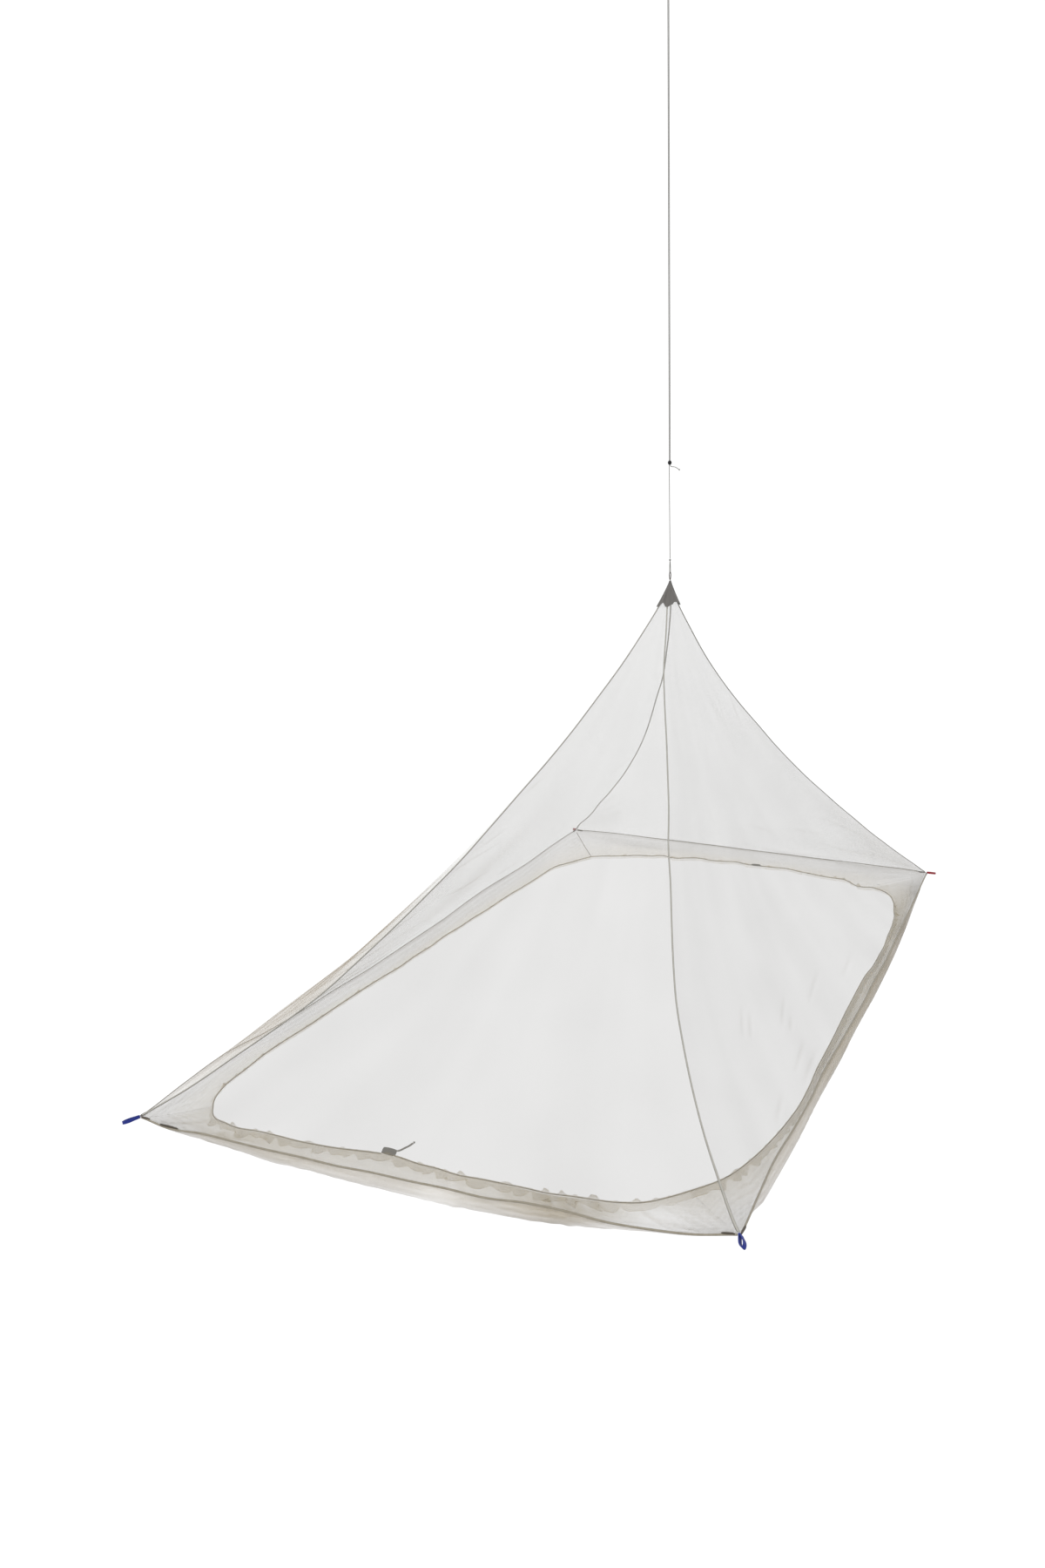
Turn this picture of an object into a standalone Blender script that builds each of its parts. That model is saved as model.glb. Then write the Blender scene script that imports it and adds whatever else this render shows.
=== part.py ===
"""Mosquito net canopy: a four-sided net that hangs from one point on a cord.

Four netting walls rise from a long base to a small cloth cap. A narrow netting skirt is turned in
under the walls and gathered on a drawcord round the open bottom. Loops at the corners are tied out.

Frame: metres, +Z up. The origin is the hang point, where the doubled cord bends over what holds it.
X runs across the net and Y along it, from the foot end (negative) to the head end (positive).
"""
from collections import namedtuple
from math import cos, exp, pi, radians, sin

import bmesh
import bpy
from mathutils import Matrix, Vector

# ---------------------------------------------------------------- driving dimensions (metres)
BASE_LENGTH = 2.40
BASE_WIDTH = 1.25
NET_HEIGHT = 0.983
APEX_FROM_FOOT = 1.59
HANG_HEIGHT = 2.50

GAP = 0.0003
NET_THICKNESS = 0.0012

# Corners of the base: which way each lies across and along, and how high it is tied.
Corner = namedtuple("Corner", "name across along height")
CORNERS = (
    Corner("foot_left", -1, -1, -0.013),
    Corner("foot_right", 1, -1, -0.001),
    Corner("head_right", 1, 1, -0.019),
    Corner("head_left", -1, 1, 0.033),
)

# Ridge seams, corner to cap. Each hangs below its straight line, and leans towards the short wall.
Ridge = namedtuple("Ridge", "corner sag lean lean_peak lean_fullness")
RIDGES = {
    "foot_left": Ridge("foot_left", 0.130, 0.059, 0.38, 3.6),
    "foot_right": Ridge("foot_right", 0.141, 0.061, 0.44, 1.8),
    "head_right": Ridge("head_right", 0.138, 0.020, 0.46, 2.1),
    "head_left": Ridge("head_left", 0.140, 0.056, 0.66, 2.4),
}
RIDGE_SAG_PEAK = 0.60
RIDGE_SAG_FULLNESS = 1.5

# Sides, in order round the base. The seam of each hangs by sag, most at sag_peak. The skirt under it
# droops below the seam, and its gathered edge lies inset from the base line. The wall billows
# outwards, most at the given shares of the way along the base and up the wall.
Side = namedtuple("Side", "name start end sag sag_peak droop inset billow billow_along billow_up")
SIDES = (
    Side("foot", "foot_left", "foot_right", 0.022, 0.55, 0.030, 0.055, 0.000, 0.50, 0.40),
    Side("right", "foot_right", "head_right", 0.030, 0.40, 0.032, 0.024, 0.004, 0.50, 0.40),
    Side("head", "head_right", "head_left", 0.002, 0.50, 0.016, 0.036, 0.000, 0.50, 0.40),
    Side("left", "head_left", "foot_left", 0.009, 0.65, 0.024, 0.035, 0.034, 0.80, 0.22),
)

# The bottom opening's round corners: how far each curve reaches across and along the net, and how
# many degrees round from its long side the skirt's corner seam meets it.
RimCorner = namedtuple("RimCorner", "corner across along seam")
RIM_CORNERS = {
    "foot_left": RimCorner("foot_left", 0.185, 0.230, 45),
    "foot_right": RimCorner("foot_right", 0.260, 0.500, 54),
    "head_right": RimCorner("head_right", 0.420, 0.480, 45),
    "head_left": RimCorner("head_left", 0.250, 0.300, 45),
}
RIM_HEIGHT = -0.030
RIM_CURVE_STEPS = 5
RIM_STRAIGHT_STEPS = {"foot": 5, "right": 9, "head": 5, "left": 9}

# Soft folds in the walls, from the cap downwards: where each meets the base, how deep it is, how
# wide, and how far up it is deepest. A fold with a negative depth stands out as a ridge.
Fold = namedtuple("Fold", "side along depth spread up")
FOLDS = (
    Fold("foot", 0.22, 0.005, 0.09, 0.45),
    Fold("foot", 0.55, -0.004, 0.12, 0.35),
    Fold("foot", 0.80, 0.006, 0.08, 0.30),
    Fold("right", 0.14, 0.008, 0.06, 0.30),
    Fold("right", 0.33, -0.005, 0.08, 0.40),
    Fold("right", 0.62, 0.007, 0.09, 0.45),
    Fold("right", 0.84, 0.009, 0.06, 0.30),
    Fold("head", 0.30, 0.004, 0.10, 0.40),
    Fold("head", 0.72, -0.004, 0.10, 0.35),
    Fold("left", 0.20, 0.006, 0.08, 0.35),
    Fold("left", 0.46, -0.004, 0.10, 0.40),
    Fold("left", 0.66, 0.005, 0.07, 0.30),
)

RIDGE_TAPE_WIDTH = 0.0090
RIDGE_TAPE_THICKNESS = 0.0024
HEM_TAPE_HEIGHT = 0.0060
HEM_TAPE_THICKNESS = 0.0020
MITRE_TAPE_WIDTH = 0.0060
MITRE_TAPE_THICKNESS = 0.0016
TAPE_SHOULDER = 0.55
TAPE_START = 0.030
EDGE_GAP = 0.0009
# Shares of the way up the ridges at which the walls have their rows: closer where they steepen.
WALL_ROWS = (0.0, 0.09, 0.20, 0.33, 0.46, 0.59, 0.71, 0.81, 0.89, 0.95, 0.985, 1.0)
SKIRT_COLUMNS = (0.0, 0.22, 0.45, 0.72, 1.0)
SKIRT_DROOP_PEAK = 0.42
SKIRT_RIPPLES = 5
SKIRT_UNEVEN = 0.12

CORNER_TAB = (0.020, 0.0030, 0.0060)
SIDE_TAB = (0.044, 0.0022, 0.0085)
SIDE_TAB_START = 0.047

CORD_DIAMETER = 0.0020
CORD_ARM = CORD_DIAMETER / 2
STRAND_SPACING = 0.0027
SLEEVE_SIZE = (0.030, 0.014, 0.0045)
SLEEVE_FOOT_X = -0.084
SLEEVE_HEAD_X = 0.062
SLEEVE_ROLL = 34
SLEEVE_LAP = -0.0002

LOOP_BEARING = 33
LOOP_LENGTH = 0.044
LOOP_TAPE_WIDTH = 0.0076
LOOP_TAPE_THICKNESS = 0.0019
LOOP_ROOT = 0.0015
LOOP_DROOP = {"foot_left": 5, "foot_right": 2, "head_right": 13, "head_left": 8}
# Half widths of a corner loop's outer edge at shares of its length.
LoopRow = namedtuple("LoopRow", "share outer")
LOOP_ROWS = (
    LoopRow(0.00, 0.0034),
    LoopRow(0.22, 0.0042),
    LoopRow(0.55, 0.0062),
    LoopRow(0.80, 0.0066),
    LoopRow(0.93, 0.0056),
    LoopRow(1.00, 0.0032),
)
LOOP_EYE_START = 0.30

CAP_POINT_HEIGHT = 0.914
CAP_PLUG_HEIGHT = 0.9445
CAP_ARCH_HEIGHT = 0.011
CAP_REACH = 0.0030
CAP_FACET = 0.0104
CAP_THICKNESS = 0.0015
CAP_BULGE = 0.0016
CAP_TIP = (0.0080, 0.0060)
CAP_RINGS = 3
CAP_SIDE_STEPS = 4

HANG_LOOP_WIDTH = 0.0066
HANG_LOOP_HEIGHT = 0.0230
HANG_LOOP_DEPTH = 0.0034
HANG_LOOP_THICKNESS = 0.0018
EYE_BEND = 0.0040
EYE_CLEARANCE = 0.0021
HANG_KNOT_HEIGHT = 1.0386
HANG_KNOT_RADIUS = 0.0032
LOCK_HEIGHT = 1.3014
LOCK_RADIUS = 0.0058
TOP_BEND = 0.0080
TOP_EYE_LENGTH = 0.034
TAIL_KNOT_RADIUS = 0.0024
CORD_SIDES = 2

# Routes of the free tails: steps from where each leaves its lock or sleeve.
HANG_TAIL_ROUTE = (
    (0.0000, 0.0000, -0.0030),
    (0.0016, 0.0002, -0.0068),
    (0.0062, 0.0004, -0.0086),
    (0.0118, 0.0004, -0.0102),
    (0.0168, 0.0002, -0.0140),
    (0.0206, 0.0000, -0.0184),
)
DRAW_TAIL_ROUTE = (
    (0.0030, 0.0000, 0.0000),
    (0.0068, 0.0044, 0.0004),
    (0.0100, 0.0120, 0.0000),
    (0.0136, 0.0210, -0.0014),
    (0.0180, 0.0300, -0.0026),
)

NETTING = ((0.72, 0.70, 0.65), 0.85, 0.0)
SEAM_TAPE = ((0.46, 0.44, 0.37), 0.85, 0.0)
DARK_TAPE = ((0.13, 0.12, 0.10), 0.80, 0.0)
GREY_CLOTH = ((0.15, 0.145, 0.14), 0.75, 0.0)
GREY_CORD = ((0.30, 0.29, 0.26), 0.70, 0.0)
BLACK_PLASTIC = ((0.015, 0.015, 0.016), 0.40, 0.0)
BLUE_WEBBING = ((0.02, 0.09, 0.36), 0.70, 0.0)
RED_WEBBING = ((0.42, 0.02, 0.03), 0.70, 0.0)


# ---------------------------------------------------------------- scene and materials
def clear_scene():
    for thing in list(bpy.data.objects):
        bpy.data.objects.remove(thing, do_unlink=True)


def material(name, look):
    colour, roughness, metallic = look
    made = bpy.data.materials.get(name) or bpy.data.materials.new(name)
    made.use_nodes = True
    shader = made.node_tree.nodes["Principled BSDF"]
    shader.inputs["Base Color"].default_value = (*colour, 1.0)
    shader.inputs["Roughness"].default_value = roughness
    shader.inputs["Metallic"].default_value = metallic
    return made


def face_out(mesh_maker):
    """Turns every face outwards, so that the closed shape has a positive volume."""
    bmesh.ops.recalc_face_normals(mesh_maker, faces=mesh_maker.faces)
    if mesh_maker.calc_volume(signed=True) < 0:
        bmesh.ops.reverse_faces(mesh_maker, faces=mesh_maker.faces)


def finish(name, mesh_maker, look_name, look):
    """Turns a bmesh into a named object with its material."""
    face_out(mesh_maker)
    mesh = bpy.data.meshes.new(name)
    mesh_maker.to_mesh(mesh)
    mesh_maker.free()
    piece = bpy.data.objects.new(name, mesh)
    bpy.context.collection.objects.link(piece)
    mesh.materials.append(material(look_name, look))
    mesh.shade_smooth()
    mesh.set_sharp_from_angle(angle=radians(40))
    return piece


# ---------------------------------------------------------------- curves that the pieces share
def place(x, y, z):
    """A point given across the net, along it from the foot edge and above the base."""
    return Vector((x, y - APEX_FROM_FOOT, z - HANG_HEIGHT))


def bow(share, peak, fullness):
    """A smooth hump, nought at both ends and one at its peak."""
    if share <= 0.0 or share >= 1.0:
        return 0.0
    rise = (share / peak) ** (peak * fullness)
    return rise * ((1 - share) / (1 - peak)) ** ((1 - peak) * fullness)


def corner_named(name):
    return next(row for row in CORNERS if row.name == name)


def corner_point(name):
    row = corner_named(name)
    return place(row.across * BASE_WIDTH / 2, (row.along + 1) * BASE_LENGTH / 2, row.height)


PEAK = place(0.0, APEX_FROM_FOOT, NET_HEIGHT)


def ridge_point(name, share):
    """A point of a ridge seam, at a share of the way from its corner to the peak."""
    row, foot = RIDGES[name], corner_point(name)
    run = (PEAK - foot).to_2d().normalized()
    lean = Vector((run.y, -run.x))
    if lean.x * corner_named(name).across > 0:
        lean = -lean
    point = foot.lerp(PEAK, share)
    point.z -= row.sag * bow(share, RIDGE_SAG_PEAK, RIDGE_SAG_FULLNESS)
    point.xy += lean * row.lean * bow(share, row.lean_peak, row.lean_fullness)
    return point


def ridge_share_at(name, height):
    """The share of the way up a ridge at which it reaches a height above the base."""
    low, high = 0.85, 1.0
    for _ in range(40):
        middle = (low + high) / 2
        if ridge_point(name, middle).z < height - HANG_HEIGHT:
            low = middle
        else:
            high = middle
    return low


def ridge_stations(name):
    """The ridge at each wall row, from the corner to just under the cap's solid tip."""
    top = ridge_share_at(name, CAP_PLUG_HEIGHT - RIDGE_TAPE_THICKNESS / 2 - GAP)
    return [ridge_point(name, top * row) for row in WALL_ROWS]


def ridge_at_height(name, height):
    """The point of a ridge's line of stations at a height above the base."""
    stations, level = ridge_stations(name), height - HANG_HEIGHT
    low = len(stations) - 2
    while stations[low].z > level:
        low -= 1
    near, far = stations[low], stations[low + 1]
    return near.lerp(far, (level - near.z) / (far.z - near.z))


def seam_sag(side, share):
    return side.sag * bow(share, side.sag_peak, 2.0)


def seam_point(side, share):
    point = corner_point(side.start).lerp(corner_point(side.end), share)
    point.z -= seam_sag(side, share)
    return point


def inward(side):
    """The level direction from a base edge towards the middle of the net."""
    run = (corner_point(side.end) - corner_point(side.start)).to_2d().normalized()
    return Vector((-run.y, run.x, 0.0))


def side_named(name):
    return next(side for side in SIDES if side.name == name)


def rim_curve_point(name, turn):
    """A point of the opening's round corner: turn 0 on its long side, a quarter turn on its end."""
    corner, reach = corner_named(name), RIM_CORNERS[name]
    long_side = side_named("left" if corner.across < 0 else "right")
    end_side = side_named("foot" if corner.along < 0 else "head")
    edge_x = corner.across * (BASE_WIDTH / 2 - long_side.inset)
    edge_y = BASE_LENGTH / 2 + corner.along * (BASE_LENGTH / 2 - end_side.inset)
    return place(
        edge_x - corner.across * reach.across * (1 - cos(turn)),
        edge_y - corner.along * reach.along * (1 - sin(turn)),
        RIM_HEIGHT,
    )


def rim_seam_point(name):
    """Where a skirt's corner seam meets the opening's edge."""
    return rim_curve_point(name, radians(RIM_CORNERS[name].seam))


def rim_stations(side):
    """The opening's edge beside one base edge, from one corner seam to the next one."""
    flat = pi / 2 if side.name in ("foot", "head") else 0.0
    begin, stop = radians(RIM_CORNERS[side.start].seam), radians(RIM_CORNERS[side.end].seam)
    parts = [step / RIM_CURVE_STEPS for step in range(RIM_CURVE_STEPS + 1)]
    first = [rim_curve_point(side.start, begin + (flat - begin) * part) for part in parts]
    last = [rim_curve_point(side.end, flat + (stop - flat) * part) for part in parts]
    steps = RIM_STRAIGHT_STEPS[side.name]
    straight = [first[-1].lerp(last[0], step / steps) for step in range(1, steps)]
    return first + straight + last


def shares_along(points):
    """How far along a line of points each one lies, from 0 to 1."""
    runs = [0.0]
    for near, far in zip(points, points[1:]):
        runs.append(runs[-1] + (far - near).length)
    return [run / runs[-1] for run in runs]


def seam_stations(side):
    """The base seam at the same shares as the opening's edge beside it."""
    return [seam_point(side, share) for share in shares_along(rim_stations(side))]


def runs_along(points):
    """The direction of a line of points at each of them."""
    last = len(points) - 1
    return [
        (points[min(index + 1, last)] - points[max(index - 1, 0)]).normalized()
        for index in range(last + 1)
    ]


def trimmed(points, start, end):
    """The same line of points with a length cut off at each end."""
    def cut(line, length):
        line = list(line)
        while (line[1] - line[0]).length <= length:
            length -= (line[1] - line[0]).length
            line.pop(0)
        line[0] = line[0] + (line[1] - line[0]).normalized() * length
        return line
    return cut(cut(points, start)[::-1], end)[::-1]


def moved_end(points, length):
    """The same line of points with only its first one moved along it."""
    return [points[0] + (points[1] - points[0]).normalized() * length] + list(points[1:])


def offset_level(points, distance):
    """The line moved level to its right by a distance, its corners mitred."""
    runs = [(far - near).to_2d().normalized() for near, far in zip(points, points[1:])]
    moved = []
    for index, point in enumerate(points):
        before, after = runs[max(index - 1, 0)], runs[min(index, len(runs) - 1)]
        middle = (before + after).normalized()
        reach = distance / max(middle.dot(before), 0.5)
        moved.append(point + Vector((middle.y, -middle.x, 0.0)) * reach)
    return moved


def smooth_route(corners, steps):
    """Points on a smooth curve through the route's own points."""
    ends = [corners[0] * 2 - corners[1]] + list(corners) + [corners[-1] * 2 - corners[-2]]
    points = []
    for index in range(1, len(ends) - 2):
        before, start, end, after = ends[index - 1:index + 3]
        for step in range(steps):
            t = step / steps
            points.append(0.5 * (
                2 * start + (end - before) * t
                + (2 * before - 5 * start + 4 * end - after) * t * t
                + (3 * start - before - 3 * end + after) * t ** 3
            ))
    return points + [corners[-1]]


# ---------------------------------------------------------------- shapes
def sheet(name, grid, thickness, look_name, look):
    """A closed thin sheet whose middle runs through a grid of points."""
    rows, columns = len(grid), len(grid[0])

    def normal(row, column):
        up = grid[min(row + 1, rows - 1)][column] - grid[max(row - 1, 0)][column]
        over = grid[row][min(column + 1, columns - 1)] - grid[row][max(column - 1, 0)]
        return over.cross(up).normalized()

    shell = bmesh.new()
    faces = {}
    for face in (1, -1):
        for row in range(rows):
            for column in range(columns):
                point = grid[row][column] + normal(row, column) * face * thickness / 2
                faces[face, row, column] = shell.verts.new(point)
    for face in (1, -1):
        for row in range(rows - 1):
            for column in range(columns - 1):
                quad = [(row, column), (row, column + 1), (row + 1, column + 1), (row + 1, column)]
                shell.faces.new([faces[face, *key] for key in quad])
    border = [(0, column) for column in range(columns - 1)]
    border += [(row, columns - 1) for row in range(rows - 1)]
    border += [(rows - 1, column) for column in range(columns - 1, 0, -1)]
    border += [(row, 0) for row in range(rows - 1, 0, -1)]
    for here, there in zip(border, border[1:] + border[:1]):
        shell.faces.new([faces[1, *here], faces[1, *there], faces[-1, *there], faces[-1, *here]])
    return finish(name, shell, look_name, look)


def tape(name, path, sides, width, thickness, look_name, look):
    """A flat tape with thin edges, swept along a path; sides are its width's directions."""
    shell = bmesh.new()
    outline = [
        (width / 2, 0.0),
        (width / 2 * TAPE_SHOULDER, thickness / 2),
        (-width / 2 * TAPE_SHOULDER, thickness / 2),
        (-width / 2, 0.0),
        (-width / 2 * TAPE_SHOULDER, -thickness / 2),
        (width / 2 * TAPE_SHOULDER, -thickness / 2),
    ]
    rings = []
    for point, run, side in zip(path, runs_along(path), sides):
        over = run.cross(side).normalized()
        rings.append([shell.verts.new(point + side * a + over * b) for a, b in outline])
    for near, far in zip(rings, rings[1:]):
        for index in range(len(outline)):
            after = (index + 1) % len(outline)
            shell.faces.new([near[index], near[after], far[after], far[index]])
    shell.faces.new(rings[0])
    shell.faces.new(rings[-1])
    return finish(name, shell, look_name, look)


def block(name, centre, axes, size, look_name, look):
    """A cloth tab: a box with softened edges, turned to three given directions."""
    shell = bmesh.new()
    bmesh.ops.create_cube(shell, size=1.0)
    bmesh.ops.scale(shell, vec=size, verts=shell.verts)
    bmesh.ops.bevel(
        shell, geom=shell.edges[:], offset=min(size) * 0.22, segments=1, affect="EDGES"
    )
    turn = Matrix(axes).transposed()
    for vert in shell.verts:
        vert.co = centre + turn @ vert.co
    return finish(name, shell, look_name, look)


def knot(name, centre, radius, look_name, look):
    shell = bmesh.new()
    bmesh.ops.create_uvsphere(shell, u_segments=8, v_segments=6, radius=radius)
    bmesh.ops.translate(shell, vec=centre, verts=shell.verts)
    return finish(name, shell, look_name, look)


def cord(name, points, look_name, look):
    """A round cord along a list of points."""
    curve = bpy.data.curves.new(name, "CURVE")
    curve.dimensions = "3D"
    spline = curve.splines.new("POLY")
    spline.points.add(len(points) - 1)
    for knot_point, point in zip(spline.points, points):
        knot_point.co = (*point, 1.0)
    curve.bevel_depth = CORD_ARM
    curve.bevel_resolution = CORD_SIDES
    curve.use_fill_caps = True
    curve.materials.append(material(look_name, look))
    piece = bpy.data.objects.new(name, curve)
    bpy.context.collection.objects.link(piece)
    return piece


def frame_prism(name, outer, inner, depth, to_world, look_name, look):
    """A flat ring cut to two outlines with as many points each, with a depth across its plane."""
    shell = bmesh.new()
    rings = {}
    for face in (1, -1):
        for kind, outline in (("outer", outer), ("inner", inner)):
            rings[kind, face] = [
                shell.verts.new(to_world(a, b, face * depth / 2)) for a, b in outline
            ]
    count = len(outer)
    for index in range(count):
        after = (index + 1) % count
        for first, second in (
            (rings["outer", 1], rings["inner", 1]),
            (rings["inner", -1], rings["outer", -1]),
            (rings["outer", -1], rings["outer", 1]),
            (rings["inner", 1], rings["inner", -1]),
        ):
            shell.faces.new([first[index], first[after], second[after], second[index]])
    return finish(name, shell, look_name, look)


# ---------------------------------------------------------------- netting walls and their seams
def ridge_sideways(run):
    return Vector((0, 0, 1)).cross(run).normalized()


def ridge_edge(name, towards):
    """The wall's edge beside a ridge tape, on the side that looks towards a point."""
    stations = ridge_stations(name)
    edge = []
    for point, run in zip(stations, runs_along(stations)):
        side = ridge_sideways(run)
        if side.dot(towards - point) < 0:
            side = -side
        edge.append(point + side * (RIDGE_TAPE_WIDTH / 2 + EDGE_GAP))
    return edge


def start_beside(seam, line_start, line_end, clearance):
    """How far along a seam to start so that it clears a line from the same corner."""
    run = (seam[1] - seam[0]).to_2d().normalized()
    line = (line_end - line_start).to_2d().normalized()
    return clearance / abs(run.cross(line))


def fold_depth(side, share, up):
    """How deep the folds of a wall lie at a point, fading towards its edges."""
    depth = 0.0
    for fold in FOLDS:
        if fold.side == side.name:
            offset = (share - fold.along) / fold.spread
            depth += fold.depth * exp(-offset * offset) * bow(up, fold.up, 2.0)
    return depth * min(1.0, share * 8, (1 - share) * 8)


def wall(side):
    """One netting wall: its foot on the base seam, its sides on two ridge seams."""
    seam = seam_stations(side)
    shares = shares_along(seam)
    middle = (seam[0] + seam[-1]) / 2
    left, right = ridge_edge(side.start, middle), ridge_edge(side.end, middle)
    clearance = RIDGE_TAPE_WIDTH / 2 + EDGE_GAP
    near = start_beside(seam, seam[0], ridge_stations(side.start)[1], clearance)
    far = start_beside(seam[::-1], seam[-1], ridge_stations(side.end)[1], clearance)
    lift = Vector((0, 0, HEM_TAPE_HEIGHT / 2 + GAP + NET_THICKNESS / 2))
    foot = moved_end(moved_end(seam, near)[::-1], far)[::-1]
    grid = [[point + lift for point in foot]]
    out = -inward(side)
    facing = (out + Vector((0, 0, 1))).normalized()
    for row, up in enumerate(WALL_ROWS[1:], start=1):
        line = []
        for share in shares:
            point = left[row].lerp(right[row], share)
            point.z -= seam_sag(side, share) * (1 - up) ** 2
            swell = bow(share, side.billow_along, 3.0) * bow(up, side.billow_up, 3.0)
            line.append(point + facing * (side.billow * swell - fold_depth(side, share, up)))
        grid.append(line)
    return sheet(f"wall_{side.name}", grid, NET_THICKNESS, "netting", NETTING)


def ridge_tape(name):
    stations = ridge_stations(name)
    path = trimmed(stations, TAPE_START, 0.0)
    sides = [ridge_sideways(run) for run in runs_along(stations)][-len(path):]
    return tape(
        f"ridge_tape_{name}", path, sides, RIDGE_TAPE_WIDTH, RIDGE_TAPE_THICKNESS,
        "seam tape", SEAM_TAPE,
    )


def base_tape(side):
    """The seam on a base edge, which stands upright between wall and skirt."""
    start = tab_start(side, side.start) + CORNER_TAB[0] + GAP
    end = tab_start(side, side.end) + CORNER_TAB[0] + GAP
    path = trimmed(seam_stations(side), start, end)
    sides = [(Vector((0, 0, 1)) - run * run.z).normalized() for run in runs_along(path)]
    return tape(
        f"base_tape_{side.name}", path, sides, HEM_TAPE_HEIGHT, HEM_TAPE_THICKNESS,
        "seam tape", SEAM_TAPE,
    )


# ---------------------------------------------------------------- skirt, mitres and drawcord
def mitre_line(name):
    """The skirt's corner seam: from under the tied corner to the gathered edge."""
    drop = Vector((0, 0, HEM_TAPE_HEIGHT / 2 + GAP + NET_THICKNESS / 2))
    return corner_point(name) - drop, rim_seam_point(name)


def skirt_edge(side):
    """The skirt's gathered edge, just outside the drawcord, short of both corner seams."""
    rim = rim_stations(side)
    clearance = MITRE_TAPE_WIDTH / 2 + EDGE_GAP
    near = start_beside(rim, *mitre_line(side.start), clearance)
    far = start_beside(rim[::-1], *mitre_line(side.end), clearance)
    rim = moved_end(moved_end(rim, near)[::-1], far)[::-1]
    return offset_level(rim, CORD_ARM + GAP + NET_THICKNESS * 0.46)


def skirt(side):
    """One netting skirt panel, drooping between the base seam and the drawcord."""
    seam = seam_stations(side)
    clearance = MITRE_TAPE_WIDTH / 2 + EDGE_GAP
    near = start_beside(seam, *mitre_line(side.start), clearance)
    far = start_beside(seam[::-1], *mitre_line(side.end), clearance)
    drop = Vector((0, 0, HEM_TAPE_HEIGHT / 2 + GAP + NET_THICKNESS / 2))
    outer = [point - drop for point in moved_end(moved_end(seam, near)[::-1], far)[::-1]]
    inner = skirt_edge(side)
    grid = []
    for across in SKIRT_COLUMNS:
        line = []
        for share, out_point, in_point in zip(shares_along(inner), outer, inner):
            point = out_point.lerp(in_point, across)
            slack = bow(across, SKIRT_DROOP_PEAK, 2.0) * bow(share, 0.5, 1.0)
            ripple = sin(share * SKIRT_RIPPLES * 2 * pi) + sin(share * SKIRT_RIPPLES * 9 + 1)
            point.z -= side.droop * slack * (1 + ripple * SKIRT_UNEVEN)
            line.append(point)
        grid.append(line)
    return sheet(f"skirt_{side.name}", grid, NET_THICKNESS, "netting", NETTING)


def mitre_tape(name):
    start, end = mitre_line(name)
    path = trimmed([start, start.lerp(end, 0.5), end], TAPE_START, CORD_ARM + EDGE_GAP + GAP)
    sides = [ridge_sideways(run) for run in runs_along(path)]
    return tape(
        f"mitre_tape_{name}", path, sides, MITRE_TAPE_WIDTH, MITRE_TAPE_THICKNESS,
        "seam tape", SEAM_TAPE,
    )


def sleeve_place(side, x):
    """A sleeve's middle and its rolled width direction, beside the drawcord's line."""
    edge = rim_stations(side)
    on_cord = Vector((x, edge[len(edge) // 2].y, edge[len(edge) // 2].z))
    roll = Matrix.Rotation(radians(SLEEVE_ROLL) * inward(side).y, 3, "X")
    across = roll @ inward(side)
    return on_cord + across * (SLEEVE_SIZE[1] / 2 - SLEEVE_LAP), across


def cord_sleeve(side, x):
    """A flat stitched sleeve that lies inside the drawcord's line and rolls up at its inner edge."""
    centre, across = sleeve_place(side, x)
    run = Vector((1, 0, 0))
    axes = (run, across, run.cross(across))
    return block(f"cord_sleeve_{side.name}", centre, axes, SLEEVE_SIZE, "dark tape", DARK_TAPE)


def drawcords():
    half = SLEEVE_SIZE[0] / 2 + GAP
    foot, head = side_named("foot"), side_named("head")
    right = [p for p in rim_stations(foot) if p.x > SLEEVE_FOOT_X + half]
    right = [Vector((SLEEVE_FOOT_X + half, right[0].y, right[0].z))] + right
    right += rim_stations(side_named("right"))[1:]
    head_line = rim_stations(head)[1:]
    right += [p for p in head_line if p.x > SLEEVE_HEAD_X + half]
    right += [Vector((SLEEVE_HEAD_X + half, right[-1].y, right[-1].z))]
    left = [p for p in head_line if p.x < SLEEVE_HEAD_X - half]
    left = [Vector((SLEEVE_HEAD_X - half, left[0].y, left[0].z))] + left
    left += rim_stations(side_named("left"))[1:]
    left += [p for p in rim_stations(foot)[1:] if p.x < SLEEVE_FOOT_X - half]
    left += [Vector((SLEEVE_FOOT_X - half, left[-1].y, left[-1].z))]
    cord("drawcord_right", right, "grey cord", GREY_CORD)
    cord("drawcord_left", left, "grey cord", GREY_CORD)


def draw_tails():
    """Two cord ends that leave the foot sleeve side by side and share a knot."""
    foot = side_named("foot")
    centre, across = sleeve_place(foot, SLEEVE_FOOT_X)
    exit_point = centre + Vector((SLEEVE_SIZE[0] / 2 + GAP * 2, 0.0, 0.0))
    exit_point += across * SLEEVE_SIZE[1] * 0.2
    route = [exit_point] + [exit_point + Vector(step) for step in DRAW_TAIL_ROUTE]
    points = smooth_route(route, 3)
    for name, shift in (("drawcord_tail_1", -0.5), ("drawcord_tail_2", 0.5)):
        line = offset_level(points, shift * STRAND_SPACING)
        cord(name, trimmed(line, 0.0, GAP), "grey cord", GREY_CORD)
    run = (points[-1] - points[-2]).normalized()
    knot(
        "drawcord_tail_knot", points[-1] + run * (TAIL_KNOT_RADIUS + GAP), TAIL_KNOT_RADIUS,
        "grey cord", GREY_CORD,
    )


# ---------------------------------------------------------------- corners
def loop_direction(name):
    corner = corner_named(name)
    level = Vector((
        corner.across * sin(radians(LOOP_BEARING)), corner.along * cos(radians(LOOP_BEARING)), 0.0
    ))
    droop = radians(LOOP_DROOP[name])
    return (level * cos(droop) - Vector((0, 0, sin(droop)))).normalized()


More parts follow.
